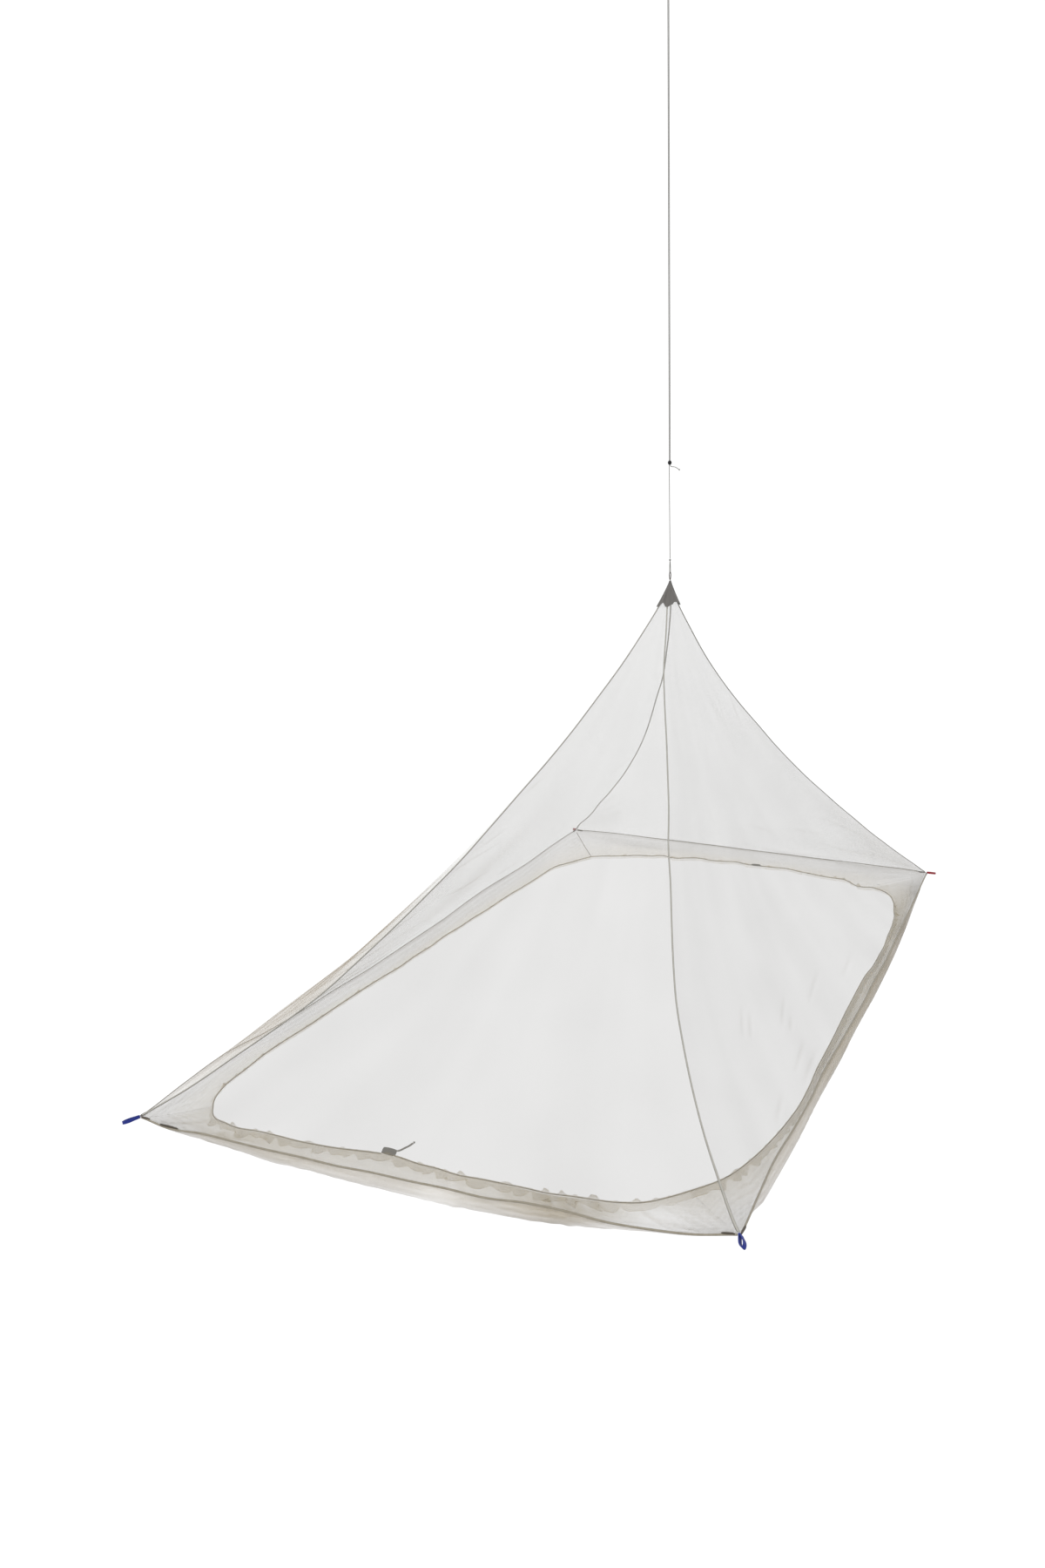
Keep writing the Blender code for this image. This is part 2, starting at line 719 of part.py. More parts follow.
def seam_run(side, name):
    """The direction of a base seam as it leaves one of its corners."""
    seam = seam_stations(side)
    return (seam[1] - seam[0] if name == side.start else seam[-2] - seam[-1]).normalized()


def tab_start(side, name):
    """How far along the seam a corner tab starts, to sit close against the loop's root."""
    run = seam_run(side, name)
    out = loop_direction(name).to_2d().normalized()
    along, over = abs(run.to_2d().dot(out)), abs(run.to_2d().cross(out))
    return (LOOP_ROOT + GAP * 2 + CORNER_TAB[1] / 2 * over) / along


def corner_tab(side, name):
    run = seam_run(side, name)
    centre = corner_point(name) + run * (tab_start(side, name) + CORNER_TAB[0] / 2)
    over = Vector((0, 0, 1)).cross(run).normalized()
    axes = (run, over, run.cross(over))
    return block(
        f"corner_tab_{name}_{side.name}", centre, axes, CORNER_TAB, "seam tape", SEAM_TAPE
    )


def corner_loop(name, look_name, look):
    """A folded webbing loop, its eye open between two legs that meet at the tied corner."""
    run = loop_direction(name)
    over = Vector((0, 0, 1)).cross(run).normalized()
    up = run.cross(over)
    root = corner_point(name) - run * LOOP_ROOT

    def half_width(share, rows):
        for near, far in zip(rows, rows[1:]):
            if share <= far.share:
                part = (share - near.share) / (far.share - near.share)
                return near.outer + (far.outer - near.outer) * part
        return rows[-1].outer

    outer_edge = [(row.share * LOOP_LENGTH, row.outer) for row in LOOP_ROWS]
    inner_edge = []
    eye = LOOP_LENGTH - LOOP_TAPE_THICKNESS
    for row in LOOP_ROWS:
        share = LOOP_EYE_START + (eye / LOOP_LENGTH - LOOP_EYE_START) * row.share
        width = half_width(share, LOOP_ROWS) - LOOP_TAPE_THICKNESS
        inner_edge.append((share * LOOP_LENGTH, max(width, 0.0012)))
    inner_edge[-1] = (eye, LOOP_ROWS[-1].outer - LOOP_TAPE_THICKNESS / 2)
    outer = outer_edge + [(a, -b) for a, b in reversed(outer_edge)]
    inner = inner_edge + [(a, -b) for a, b in reversed(inner_edge)]
    return frame_prism(
        f"corner_loop_{name}", outer, inner, LOOP_TAPE_WIDTH,
        lambda a, b, c: root + run * a + over * b + up * c, look_name, look,
    )


def side_tab():
    """The small dark tab sewn to the foot seam, near its left corner."""
    foot = side_named("foot")
    seam = seam_stations(foot)
    run = seam_run(foot, foot.start)
    centre = seam[0] + run * (SIDE_TAB_START + SIDE_TAB[0] / 2)
    centre -= inward(foot) * (HEM_TAPE_THICKNESS / 2 + GAP + SIDE_TAB[1] / 2 + 0.0002)
    over = Vector((0, 0, 1)).cross(run).normalized()
    return block(
        "side_tab", centre, (run, over, run.cross(over)), SIDE_TAB, "dark tape", DARK_TAPE
    )


# ---------------------------------------------------------------- cap, hang loop and hang cord
def cap_corner(name, height, reach, turn):
    """One end of a short facet that the cap lays across a ridge seam."""
    point = ridge_at_height(name, height)
    out = Vector((*point.to_2d().normalized(), 0.0))
    over = Vector((-out.y, out.x, 0.0))
    return point + out * reach + over * turn * (CAP_FACET / 2 + reach / 3)


def cap_ring(height_of, reach):
    """The cap's outline: a facet over each ridge seam, and a bulging arched side between them."""
    ring = []
    names = [row.name for row in CORNERS]
    for start, end in zip(names, names[1:] + names[:1]):
        for step in range(CAP_SIDE_STEPS + 1):
            share = step / CAP_SIDE_STEPS
            near = cap_corner(start, height_of(share), reach, 1)
            far = cap_corner(end, height_of(share), reach, -1)
            over = (far - near).normalized()
            point = near.lerp(far, share)
            point += Vector((over.y, -over.x, 0.0)) * CAP_BULGE * sin(pi * share)
            ring.append(point)
    return ring


def cap():
    """The cloth cap: a hollow four-sided cone with a stitched solid tip."""
    shell = bmesh.new()
    inner, outer = [], []
    for level in range(CAP_RINGS + 1):
        part = level / CAP_RINGS

        def height_of(share):
            low = CAP_POINT_HEIGHT + CAP_ARCH_HEIGHT * sin(pi * share)
            return low + (CAP_PLUG_HEIGHT - low) * part

        inner.append([shell.verts.new(p) for p in cap_ring(height_of, CAP_REACH)])
        outer.append([
            shell.verts.new(p) for p in cap_ring(height_of, CAP_REACH + CAP_THICKNESS)
        ])
    count = len(inner[0])
    for part in (0.5, 1.0):
        ring = []
        for vert in outer[CAP_RINGS]:
            way = (vert.co - PEAK).to_2d().normalized()
            tip = PEAK + Vector((way.x * CAP_TIP[0] / 2, way.y * CAP_TIP[1] / 2, 0.0))
            ring.append(shell.verts.new(vert.co.lerp(tip, part)))
        outer.append(ring)
    rings = inner[::-1] + outer
    for near, far in zip(rings, rings[1:]):
        for index in range(count):
            after = (index + 1) % count
            shell.faces.new([near[index], near[after], far[after], far[index]])
    shell.faces.new(rings[0])
    shell.faces.new(rings[-1])
    return finish("cap", shell, "grey cloth", GREY_CLOTH)


def hang_loop():
    """The narrow tape loop that stands on the cap's tip."""
    wide, high = HANG_LOOP_WIDTH / 2, HANG_LOOP_HEIGHT
    slim = HANG_LOOP_THICKNESS
    outer = [
        (wide * 0.7, 0.0), (wide, high * 0.3), (wide, high * 0.75), (wide * 0.5, high),
        (-wide * 0.5, high), (-wide, high * 0.75), (-wide, high * 0.3), (-wide * 0.7, 0.0),
    ]
    slot = wide - slim
    inner = [
        (slot * 0.6, high * 0.16), (slot, high * 0.34), (slot, high * 0.80),
        (slot * 0.8, high - slim), (-slot * 0.8, high - slim), (-slot, high * 0.80),
        (-slot, high * 0.34), (-slot * 0.6, high * 0.16),
    ]
    foot = PEAK + Vector((0, 0, GAP))
    return frame_prism(
        "hang_loop", outer, inner, HANG_LOOP_DEPTH,
        lambda a, b, c: foot + Vector((a, c, b)), "grey cloth", GREY_CLOTH,
    )


def hang_eye():
    """The cord's tied eye, which passes through the hang loop and meets the knot."""
    bar = PEAK.z + GAP + HANG_LOOP_HEIGHT - HANG_LOOP_THICKNESS
    bend = Vector((0, 0, bar + EYE_CLEARANCE))
    top = HANG_KNOT_HEIGHT - HANG_HEIGHT - HANG_KNOT_RADIUS - GAP
    turns = [pi * step / 10 for step in range(11)]
    arc = [bend + Vector((0, -cos(t) * EYE_BEND, -sin(t) * EYE_BEND)) for t in turns]
    throat = STRAND_SPACING / 2
    near = [
        Vector((0, -throat, top)),
        Vector((0, -throat * 1.6, top - 0.006)),
        Vector((0, -EYE_BEND * 0.85, top - 0.014)),
    ]
    far = [Vector((0, -point.y, point.z)) for point in reversed(near)]
    return cord("hang_eye", near + arc + far, "grey cord", GREY_CORD)


def hang_cord():
    """One strand up from the knot, through the lock, over the hang point and back to the lock."""
    half = STRAND_SPACING / 2
    start = HANG_KNOT_HEIGHT + HANG_KNOT_RADIUS + GAP - HANG_HEIGHT
    lock = LOCK_HEIGHT - HANG_HEIGHT
    centre = CORD_ARM - TOP_BEND
    rise = [
        (0.0, start), (-half * 0.25, start + 0.06), (-half * 0.7, start + 0.16),
        (-half, lock - 0.03), (-half, lock), (-half, lock + 0.05),
    ]
    rise += [(-half, lock + (centre - TOP_EYE_LENGTH - lock) * part) for part in (0.25, 0.5, 0.75)]
    rise += [
        (-half, centre - TOP_EYE_LENGTH), (-half * 1.5, centre - TOP_EYE_LENGTH * 0.75),
        (-half * 3.2, centre - TOP_EYE_LENGTH * 0.46), (-TOP_BEND * 0.93, centre - 0.006),
    ]
    points = [Vector((x, 0, z)) for x, z in rise]
    for step in range(1, 10):
        turn = pi * step / 10
        points.append(Vector((-cos(turn) * TOP_BEND, 0, centre + sin(turn) * TOP_BEND)))
    points += [Vector((-x, 0, z)) for x, z in reversed(rise[4:])]
    exit_point = Vector((half, 0, lock - LOCK_RADIUS))
    points += smooth_route([exit_point] + [exit_point + Vector(s) for s in HANG_TAIL_ROUTE], 3)
    cord("hang_cord", points, "grey cord", GREY_CORD)
    run = (points[-1] - points[-2]).normalized()
    knot(
        "hang_tail_knot", points[-1] + run * (TAIL_KNOT_RADIUS + GAP), TAIL_KNOT_RADIUS,
        "grey cord", GREY_CORD,
    )


def cord_lock():
    """A round lock with one long hole, in which both strands lie side by side."""
    shell = bmesh.new()
    bmesh.ops.create_uvsphere(shell, u_segments=16, v_segments=10, radius=LOCK_RADIUS)
    lock = finish("cord_lock", shell, "black plastic", BLACK_PLASTIC)
    lock.location = (0, 0, LOCK_HEIGHT - HANG_HEIGHT)
    hole = bmesh.new()
    arm = CORD_ARM + GAP * 1.5
    outline = []
    for end in (1, -1):
        for step in range(5):
            turn = pi * (step / 4 - 0.5)
            outline.append((
                end * (STRAND_SPACING / 2 + cos(turn) * arm), end * sin(turn) * arm
            ))
    rings = []
    for z in (-LOCK_RADIUS * 1.4, LOCK_RADIUS * 1.4):
        rings.append([hole.verts.new((x, y, z)) for x, y in outline])
    for index in range(len(outline)):
        after = (index + 1) % len(outline)
        hole.faces.new([rings[0][index], rings[0][after], rings[1][after], rings[1][index]])
    hole.faces.new(rings[0])
    hole.faces.new(rings[1])
    cutter = finish("lock_hole", hole, "black plastic", BLACK_PLASTIC)
    cutter.location = lock.location
    cutter.hide_render = True
    cutter.display_type = "WIRE"
    cut = lock.modifiers.new("hole", "BOOLEAN")
    cut.object = cutter
    cut.solver = "EXACT"
    return lock


def build():
    clear_scene()
    for side in SIDES:
        wall(side)
        base_tape(side)
        skirt(side)
        for name in (side.start, side.end):
            corner_tab(side, name)
    for row in CORNERS:
        ridge_tape(row.name)
        mitre_tape(row.name)
        webbing = ("blue webbing", BLUE_WEBBING) if row.along < 0 else ("red webbing", RED_WEBBING)
        corner_loop(row.name, *webbing)
    side_tab()
    drawcords()
    cord_sleeve(side_named("foot"), SLEEVE_FOOT_X)
    cord_sleeve(side_named("head"), SLEEVE_HEAD_X)
    draw_tails()
    cap()
    hang_loop()
    hang_eye()
    knot(
        "hang_knot", Vector((0, 0, HANG_KNOT_HEIGHT - HANG_HEIGHT)), HANG_KNOT_RADIUS,
        "grey cord", GREY_CORD,
    )
    hang_cord()
    cord_lock()


build()
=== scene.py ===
# %% [markdown]
# # A hanging mosquito net
# The real object is a light travel net. Four panels of fine netting meet in four seams that climb to
# a small cloth cap, and a doubled cord hangs the cap from above. Under the panels a narrow skirt is
# turned in and gathered on a drawcord, so that the bottom stays open for a bed. Webbing loops at the
# four corners are pulled outwards. Everything below is in metres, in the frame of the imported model:
# +Z up, X across the net, Y along it, and the origin at the point that the cord hangs from.

from math import cos, exp, pi, radians, sin

import bpy
import numpy as np
from mathutils import Matrix, Vector, noise


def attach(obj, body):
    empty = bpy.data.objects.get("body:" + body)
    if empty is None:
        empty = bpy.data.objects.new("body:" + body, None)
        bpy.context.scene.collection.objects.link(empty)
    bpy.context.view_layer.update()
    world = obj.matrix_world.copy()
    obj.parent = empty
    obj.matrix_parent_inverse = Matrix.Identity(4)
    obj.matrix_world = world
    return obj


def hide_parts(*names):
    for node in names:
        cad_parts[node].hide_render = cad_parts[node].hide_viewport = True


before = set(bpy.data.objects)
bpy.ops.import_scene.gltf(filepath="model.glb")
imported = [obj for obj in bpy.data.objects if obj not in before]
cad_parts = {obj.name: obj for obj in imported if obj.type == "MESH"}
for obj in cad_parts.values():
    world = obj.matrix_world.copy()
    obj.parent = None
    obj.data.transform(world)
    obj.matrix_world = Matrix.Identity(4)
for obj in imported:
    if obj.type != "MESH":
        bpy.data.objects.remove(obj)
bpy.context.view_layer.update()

# %% [markdown]
# ## Camera
# The camera stands in front of the near right corner, a little above the net's base, and looks down
# at about twelve degrees. It is placed by its own axes, so its slight tilt is kept as well.

# %% Camera
APEX_FROM_FOOT = 1.59
HANG_HEIGHT = 2.50
CAMERA_PLACE = Vector((1.114, -3.490, -1.340))
CAMERA_TURN, CAMERA_DOWN, CAMERA_ROLL = radians(-24.388), radians(11.579), radians(-1.521)

ahead = Vector((
    sin(CAMERA_TURN) * cos(CAMERA_DOWN), cos(CAMERA_TURN) * cos(CAMERA_DOWN), -sin(CAMERA_DOWN)
))
level_right = Vector((cos(CAMERA_TURN), -sin(CAMERA_TURN), 0.0))
level_up = level_right.cross(ahead)
right = level_right * cos(CAMERA_ROLL) + level_up * sin(CAMERA_ROLL)
upward = level_up * cos(CAMERA_ROLL) - level_right * sin(CAMERA_ROLL)
lens = bpy.data.cameras.new("camera")
lens.sensor_width = 36.0
lens.lens = 29.65


def linked(name, data):
    """A new object of the scene, with its data."""
    made = bpy.data.objects.new(name, data)
    bpy.context.collection.objects.link(made)
    return made


def laid(centre, first, second, third):
    """The matrix that puts something at a place, along three directions."""
    return Matrix.Translation(centre) @ Matrix((first, second, third)).transposed().to_4x4()


camera = linked("camera", lens)
camera.matrix_world = laid(CAMERA_PLACE, right, upward, -ahead)
bpy.context.scene.camera = camera
print("camera at", [round(v, 3) for v in camera.location], "lens", lens.lens)

# %% [markdown]
# ## Floor and light
# Netting shows best against white: it is seen by the light that it takes away. So the room is an even
# white dome over a pale floor well below the net, and one broad soft sun from the left gives the
# folds a light side and a dark side.

# %% Floor and light
FLOOR_HEIGHT = -HANG_HEIGHT - 2.60
bpy.ops.mesh.primitive_plane_add(size=160, location=(0, 0, FLOOR_HEIGHT))
floor = bpy.context.object
floor.name = "floor"
floor_look = bpy.data.materials.new("pale floor")
floor_look.use_nodes = True
floor_shader = floor_look.node_tree.nodes["Principled BSDF"]
floor_shader.inputs["Base Color"].default_value = (0.82, 0.82, 0.82, 1)
floor_shader.inputs["Roughness"].default_value = 1.0
floor_shader.inputs["Specular IOR Level"].default_value = 0.0
floor.data.materials.append(floor_look)

world = bpy.data.worlds.new("white dome")
world.use_nodes = True
world.node_tree.nodes["Background"].inputs["Color"].default_value = (1, 1, 1, 1)
world.node_tree.nodes["Background"].inputs["Strength"].default_value = 1.08
bpy.context.scene.world = world
sun_data = bpy.data.lights.new("soft sun", "SUN")
sun_data.energy = 0.9
sun_data.angle = radians(70)
sun = linked("soft sun", sun_data)
sun.rotation_euler = (radians(33), radians(-12), 0)
bpy.context.scene.view_settings.view_transform = "Standard"
bpy.context.scene.cycles.transparent_max_bounces = 48
bpy.context.scene.cycles.use_denoising = True
bpy.context.scene.cycles.denoising_input_passes = "RGB"
print("floor at", FLOOR_HEIGHT)

# %% [markdown]
# ## Measurements
# These are the tables that the solid model was made from. Each seam is a straight line between two
# tied points, bent by a smooth hump: downwards where the cloth sags, and sideways where a panel pulls
# harder than its neighbour.

# %% Tables of the seams
BASE_LENGTH, BASE_WIDTH, NET_HEIGHT = 2.40, 1.25, 0.983
CORNERS = {
    "foot_left": (-1, -1, -0.013),
    "foot_right": (1, -1, -0.003),
    "head_right": (1, 1, -0.019),
    "head_left": (-1, 1, 0.033),
}
RIDGES = {
    "foot_left": (0.130, 0.059, 0.38, 3.6),
    "foot_right": (0.141, 0.061, 0.44, 1.8),
    "head_right": (0.138, 0.020, 0.46, 2.1),
    "head_left": (0.140, 0.056, 0.66, 2.4),
}
SIDES = {
    "foot": dict(start="foot_left", end="foot_right", sag=0.022, peak=0.55, inset=0.055),
    "right": dict(start="foot_right", end="head_right", sag=0.030, peak=0.40, inset=0.024),
    "head": dict(start="head_right", end="head_left", sag=0.002, peak=0.50, inset=0.036),
    "left": dict(start="head_left", end="foot_left", sag=0.009, peak=0.65, inset=0.035),
}
RIM_CORNERS = {
    "foot_left": (0.185, 0.230, 45),
    "foot_right": (0.260, 0.500, 54),
    "head_right": (0.420, 0.480, 45),
    "head_left": (0.250, 0.300, 45),
}
RIM_HEIGHT = -0.030


def place(x, y, z):
    return Vector((x, y - APEX_FROM_FOOT, z - HANG_HEIGHT))


def bow(share, peak, fullness):
    if share <= 0.0 or share >= 1.0:
        return 0.0
    rise = (share / peak) ** (peak * fullness)
    return rise * ((1 - share) / (1 - peak)) ** ((1 - peak) * fullness)


PEAK = place(0.0, APEX_FROM_FOOT, NET_HEIGHT)


def corner_point(name):
    across, along, height = CORNERS[name]
    return place(across * BASE_WIDTH / 2, (along + 1) * BASE_LENGTH / 2, height)


def ridge_point(name, share):
    sag, lean, lean_peak, lean_fullness = RIDGES[name]
    foot = corner_point(name)
    run = (PEAK - foot).to_2d().normalized()
    side = Vector((run.y, -run.x))
    if side.x * CORNERS[name][0] > 0:
        side = -side
    point = foot.lerp(PEAK, share)
    point.z -= sag * bow(share, 0.60, 1.5)
    point.xy += side * lean * bow(share, lean_peak, lean_fullness)
    return point


def side_ends(side):
    return corner_point(SIDES[side]["start"]), corner_point(SIDES[side]["end"])


def seam_point(side, share):
    start, end = side_ends(side)
    point = start.lerp(end, share)
    point.z -= SIDES[side]["sag"] * bow(share, SIDES[side]["peak"], 2.0)
    return point


def inward(side):
    start, end = side_ends(side)
    run = (end - start).to_2d().normalized()
    return Vector((-run.y, run.x, 0.0))


print("peak", [round(v, 3) for v in PEAK])

# %% [markdown]
# Real seams wander: they were sewn by hand, and each bit of slack shows. These rows give how far each
# line strays sideways, in millimetres, at even steps along it, as it is seen from the front. The
# panels, bindings and cords below all follow the wandering lines, so they stay together.

# %% Wandering seams
WANDER = {
    "ridge_foot_left": (0, 4, 3, 5, 6, 1, -2, -4, -4, -6, -6, -3, -1, -1, 0, -1, 0),
    "ridge_foot_right": (0, 0, -4, -7, -9, -10, -6, -1, 3, 3, 7, 6, 3, -3, -8, -6, -6),
    "ridge_head_right": (0, 8, 12, 15, 16, 18, 17, 16, 13, 11, 9, 8, 4, 1, 0, 2, 0),
    "ridge_head_left": (0, -8, -6, -6, -9, -6, -4, -1, 0, 1, 0, -3, -5, -2, -4, -3, 0),
    "seam_foot": (0, 8, 2, 2, 2, 1, 2, 0, 1, 1, 4, 0, 2, 9, 10, 8, 0),
    "seam_right": (0, -8, -14, -11, -10, -13, -10, -7, -4, -4, 0, 0, 0, 0, 0, 0, 0),
    "seam_head": (0, 3, 3, 4, 4, 4, 5, 5, 5, 6, 6, 6, 5, 5, 5, 3, 0),
    "seam_left": (0, 1, 0, -2, 1, 5, 4, 0, 0, 0, 0, 4, 5, 9, 18, 11, 0),
    "rim_foot": (0, 5, -1, -2, -4, -3, -1, -1, -2, -5, -8, -9, -4, -2, 2, 1, 1, 1, 2, -1, -3, -2, 0,
        -1, -1),
    "rim_right": (-1, 3, 0, -3, -3, 0, 0, -3, -3, -3, -4, -5, -5, -5, -4, 2, 3, 4, 0, -2, -8, -12, -3,
        6, 6),
    "rim_head": (-17, -20, -19, -12, -15, -17, -15, -12, -6, -6, -5, -4, 2, 0, 0, 4, 1, -3, 2, -3, -4,
        -6, -6, -3, 0),
    "rim_left": (0, -4, 0, 0, 0, 1, 3, 3, 2, 4, 3, 5, 2, 3, 1, 3, 4, 4, 3, 2, 3, 2, -4, -4, 0),
}


def smooth_between(before, start, end, after, t):
    """A smooth curve through points or numbers: t runs from 0 at start to 1 at end."""
    return 0.5 * (2 * start + (end - before) * t + (2 * before - 5 * start + 4 * end - after) * t * t
                  + (3 * start - before - 3 * end + after) * t ** 3)


def table_value(values, share):
    """A smooth curve through even steps of a table."""
    place_in = min(max(share, 0.0), 1.0) * (len(values) - 1)
    index = min(int(place_in), len(values) - 2)
    before, after = values[max(index - 1, 0)], values[min(index + 2, len(values) - 1)]
    return smooth_between(before, values[index], values[index + 1], after, place_in - index)


def strayed(label, share, point, run):
    sideways = (point - CAMERA_PLACE).cross(run).normalized()
    return point + sideways * table_value(WANDER[label], share) / 1000


def strayed_line(kind, line, name, share):
    run = line(name, min(share + 0.01, 1.0)) - line(name, max(share - 0.01, 0.0))
    return strayed(f"{kind}_{name}", share, line(name, share), run)


def ridge_seen(name, share):
    return strayed_line("ridge", ridge_point, name, share)


def seam_seen(side, share):
    return strayed_line("seam", seam_point, side, share)


print("wandering lines:", len(WANDER))

# %% [markdown]
# The bottom opening is where the skirt is gathered on its drawcord. Its edge runs beside each base
# seam, a little inside it and below, and goes round each corner in a wide quarter turn. It is made
# side by side, and the ends of two sides are then moved to meet.

# %% The gathered opening's line
def rim_curve_point(name, turn):
    across, along, _ = CORNERS[name]
    reach_x, reach_y, _ = RIM_CORNERS[name]
    long_side = SIDES["left" if across < 0 else "right"]
    end_side = SIDES["foot" if along < 0 else "head"]
    edge_x = across * (BASE_WIDTH / 2 - long_side["inset"])
    edge_y = BASE_LENGTH / 2 + along * (BASE_LENGTH / 2 - end_side["inset"])
    return place(
        edge_x - across * reach_x * (1 - cos(turn)), edge_y - along * reach_y * (1 - sin(turn)),
        RIM_HEIGHT,
    )


def route_length(points):
    return sum((far - near).length for near, far in zip(points, points[1:]))


def shares_along(points):
    runs = [0.0]
    for near, far in zip(points, points[1:]):
        runs.append(runs[-1] + (far - near).length)
    return [run / runs[-1] for run in runs]


def even(steps):
    """Even steps from 0 to 1, both ends included."""
    return [step / steps for step in range(steps + 1)]


def at_share(points, shares, share):
    """The point of a line of points at a share of its length."""
    index = int(np.searchsorted(shares, share, side="right")) - 1
    index = min(max(index, 0), len(points) - 2)
    part = (share - shares[index]) / (shares[index + 1] - shares[index])
    return points[index].lerp(points[index + 1], part)


def rim_line(side):
    """The opening's edge beside one base edge, from one corner seam to the next one."""
    row = SIDES[side]
    flat = pi / 2 if side in ("foot", "head") else 0.0
    begin, stop = radians(RIM_CORNERS[row["start"]][2]), radians(RIM_CORNERS[row["end"]][2])
    first = [rim_curve_point(row["start"], begin + (flat - begin) * part) for part in even(16)]
    last = [rim_curve_point(row["end"], flat + (stop - flat) * part) for part in even(16)]
    return first + last


def rim_seen(side, steps=160):
    """The same edge with its wandering, at even steps."""
    line = rim_line(side)
    shares = shares_along(line)
    points = [at_share(line, shares, share) for share in even(steps)]
    seen = []
    for index, point in enumerate(points):
        run = points[min(index + 1, steps)] - points[max(index - 1, 0)]
        seen.append(strayed("rim_" + side, index / steps, point, run))
    return seen


MEETING_STEPS = 10
rims = {side: rim_seen(side) for side in SIDES}
for before, after in zip(SIDES, list(SIDES)[1:] + list(SIDES)[:1]):
    middle = (rims[before][-1] + rims[after][0]) / 2
    for line in (rims[before][::-1], rims[after]):
        shift = middle - line[0]
        for step in range(MEETING_STEPS):
            line[step] += shift * (1 - step / MEETING_STEPS)
for side, line in rims.items():
    print(side, "rim length", round(route_length(line), 3))

# %% [markdown]
# ## Finishes
# Every finish is a small tree of nodes. A helper starts one with its plain values on the shader's own
# sockets, and another adds a node and links it in one go, so that a cell reads like the tree itself.

# %% Helpers for finishes
def look(name, colour, rough, sheen=0.0):
    made = bpy.data.materials.new(name)
    made.use_nodes = True
    shader = made.node_tree.nodes["Principled BSDF"]
    shader.inputs["Base Color"].default_value = (*colour, 1.0)
    shader.inputs["Roughness"].default_value = rough
    shader.inputs["Specular IOR Level"].default_value = 0.2
    shader.inputs["Sheen Weight"].default_value = sheen
    return made, shader


def feed(tree, socket, value):
    """Links a socket to another node's output, or sets it to a plain value or colour."""
    if isinstance(value, bpy.types.NodeSocket):
        tree.links.new(value, socket)
    elif socket.type == "RGBA":
        socket.default_value = (*value, 1.0)
    else:
        socket.default_value = value


def node(tree, kind, inputs=(), **settings):
    made = tree.nodes.new("ShaderNode" + kind)
    for key, value in settings.items():
        setattr(made, key, value)
    for key, value in dict(inputs).items():
        feed(tree, made.inputs[key], value)
    return made


def number(tree, operation, *values):
    return node(tree, "Math", enumerate(values), operation=operation).outputs[0]


def blend_colour(tree, amount, first, second):
    return node(tree, "Mix", {0: amount, 6: first, 7: second}, data_type="RGBA").outputs[2]


SOCKET_KINDS = {"Map": "Vector", "Flow": "Vector", "Colour": "Color"}


def effect_group(name, build, takes, gives):
    """A shader node group with named sockets; build fills it and returns a value for each output."""
    group = bpy.data.node_groups.new(name, "ShaderNodeTree")
    for way, labels in (("INPUT", takes), ("OUTPUT", gives)):
        for label in labels:
            kind = "NodeSocket" + SOCKET_KINDS.get(label, "Float")
            group.interface.new_socket(label, in_out=way, socket_type=kind)
    start, stop = group.nodes.new("NodeGroupInput"), group.nodes.new("NodeGroupOutput")
    for label, value in build(group, start.outputs).items():
        group.links.new(value, stop.inputs[label])
    return group


def placed(tree, group, **values):
    """The outputs of one effect in a material, with that material's own values."""
    return node(tree, "Group", values, node_tree=group).outputs


def map_of(tree, name="cloth"):
    """One of the piece's own maps."""
    return node(tree, "UVMap", uv_map=name).outputs[0]


def coat(tree, shader, colour, strength, distance, height):
    """Gives a shader its colour and a bump of a height."""
    tree.links.new(colour, shader.inputs["Base Color"])
    bump = node(tree, "Bump", {"Strength": strength, "Distance": distance, "Height": height})
    tree.links.new(bump.outputs[0], shader.inputs["Normal"])


print("finish helpers ready")

# %% [markdown]
# ### Effects that several finishes share
# Each effect is built once, as a group of nodes with named inputs. A finish places the group and gives
# it its own map, pitch and strength. The groups give out only masks and colours.

# %% Shared effects
PITCH_TO_SCALE = 1 / 6.3  # a wave texture of this scale over a pitch repeats every two pitches


def waves_of(tree, maps, pitch, ways):
    """One wave for each map and direction given."""
    scale = number(tree, "DIVIDE", PITCH_TO_SCALE, pitch)
    return [node(tree, "TexWave", {"Vector": spot, "Scale": scale}, bands_direction=way).outputs[1]
            for spot, way in zip(maps, ways)]


def build_weave(tree, given):
    """Threads that cross: a wave along each axis of the map, joined as a mesh and as a cloth."""
    rows = waves_of(tree, (given["Map"], given["Map"]), given["Pitch"], "XY")
    return {"Mesh": number(tree, "MAXIMUM", *rows), "Cloth": number(tree, "MULTIPLY", *rows), "Ribs": rows[1]}


def build_net(tree, given):
    """How much light a net stops: its own cover, made uneven by streaks, clouds and its threads."""
    streak = node(tree, "TexNoise", {"Vector": given["Flow"], "Scale": 1.0, "Detail": 1.6,
                                     "Roughness": 0.45})
    cloud = node(tree, "TexNoise", {"Vector": given["Map"], "Scale": 5.0, "Detail": 1.5}).outputs[0]
    weave = placed(tree, weave_group, Map=given["Map"], Pitch=given["Pitch"])["Mesh"]
    uneven = number(tree, "MULTIPLY_ADD", streak.outputs[0], 0.34, 0.66)
    uneven = number(tree, "MULTIPLY_ADD", cloud, 0.20, uneven)
    uneven = number(tree, "MULTIPLY_ADD", weave, 0.10, uneven)
    stopped = number(tree, "MINIMUM", number(tree, "MULTIPLY", given["Cover"], uneven), 0.97)
    return {"Stopped": stopped, "Streak": streak.outputs[0]}


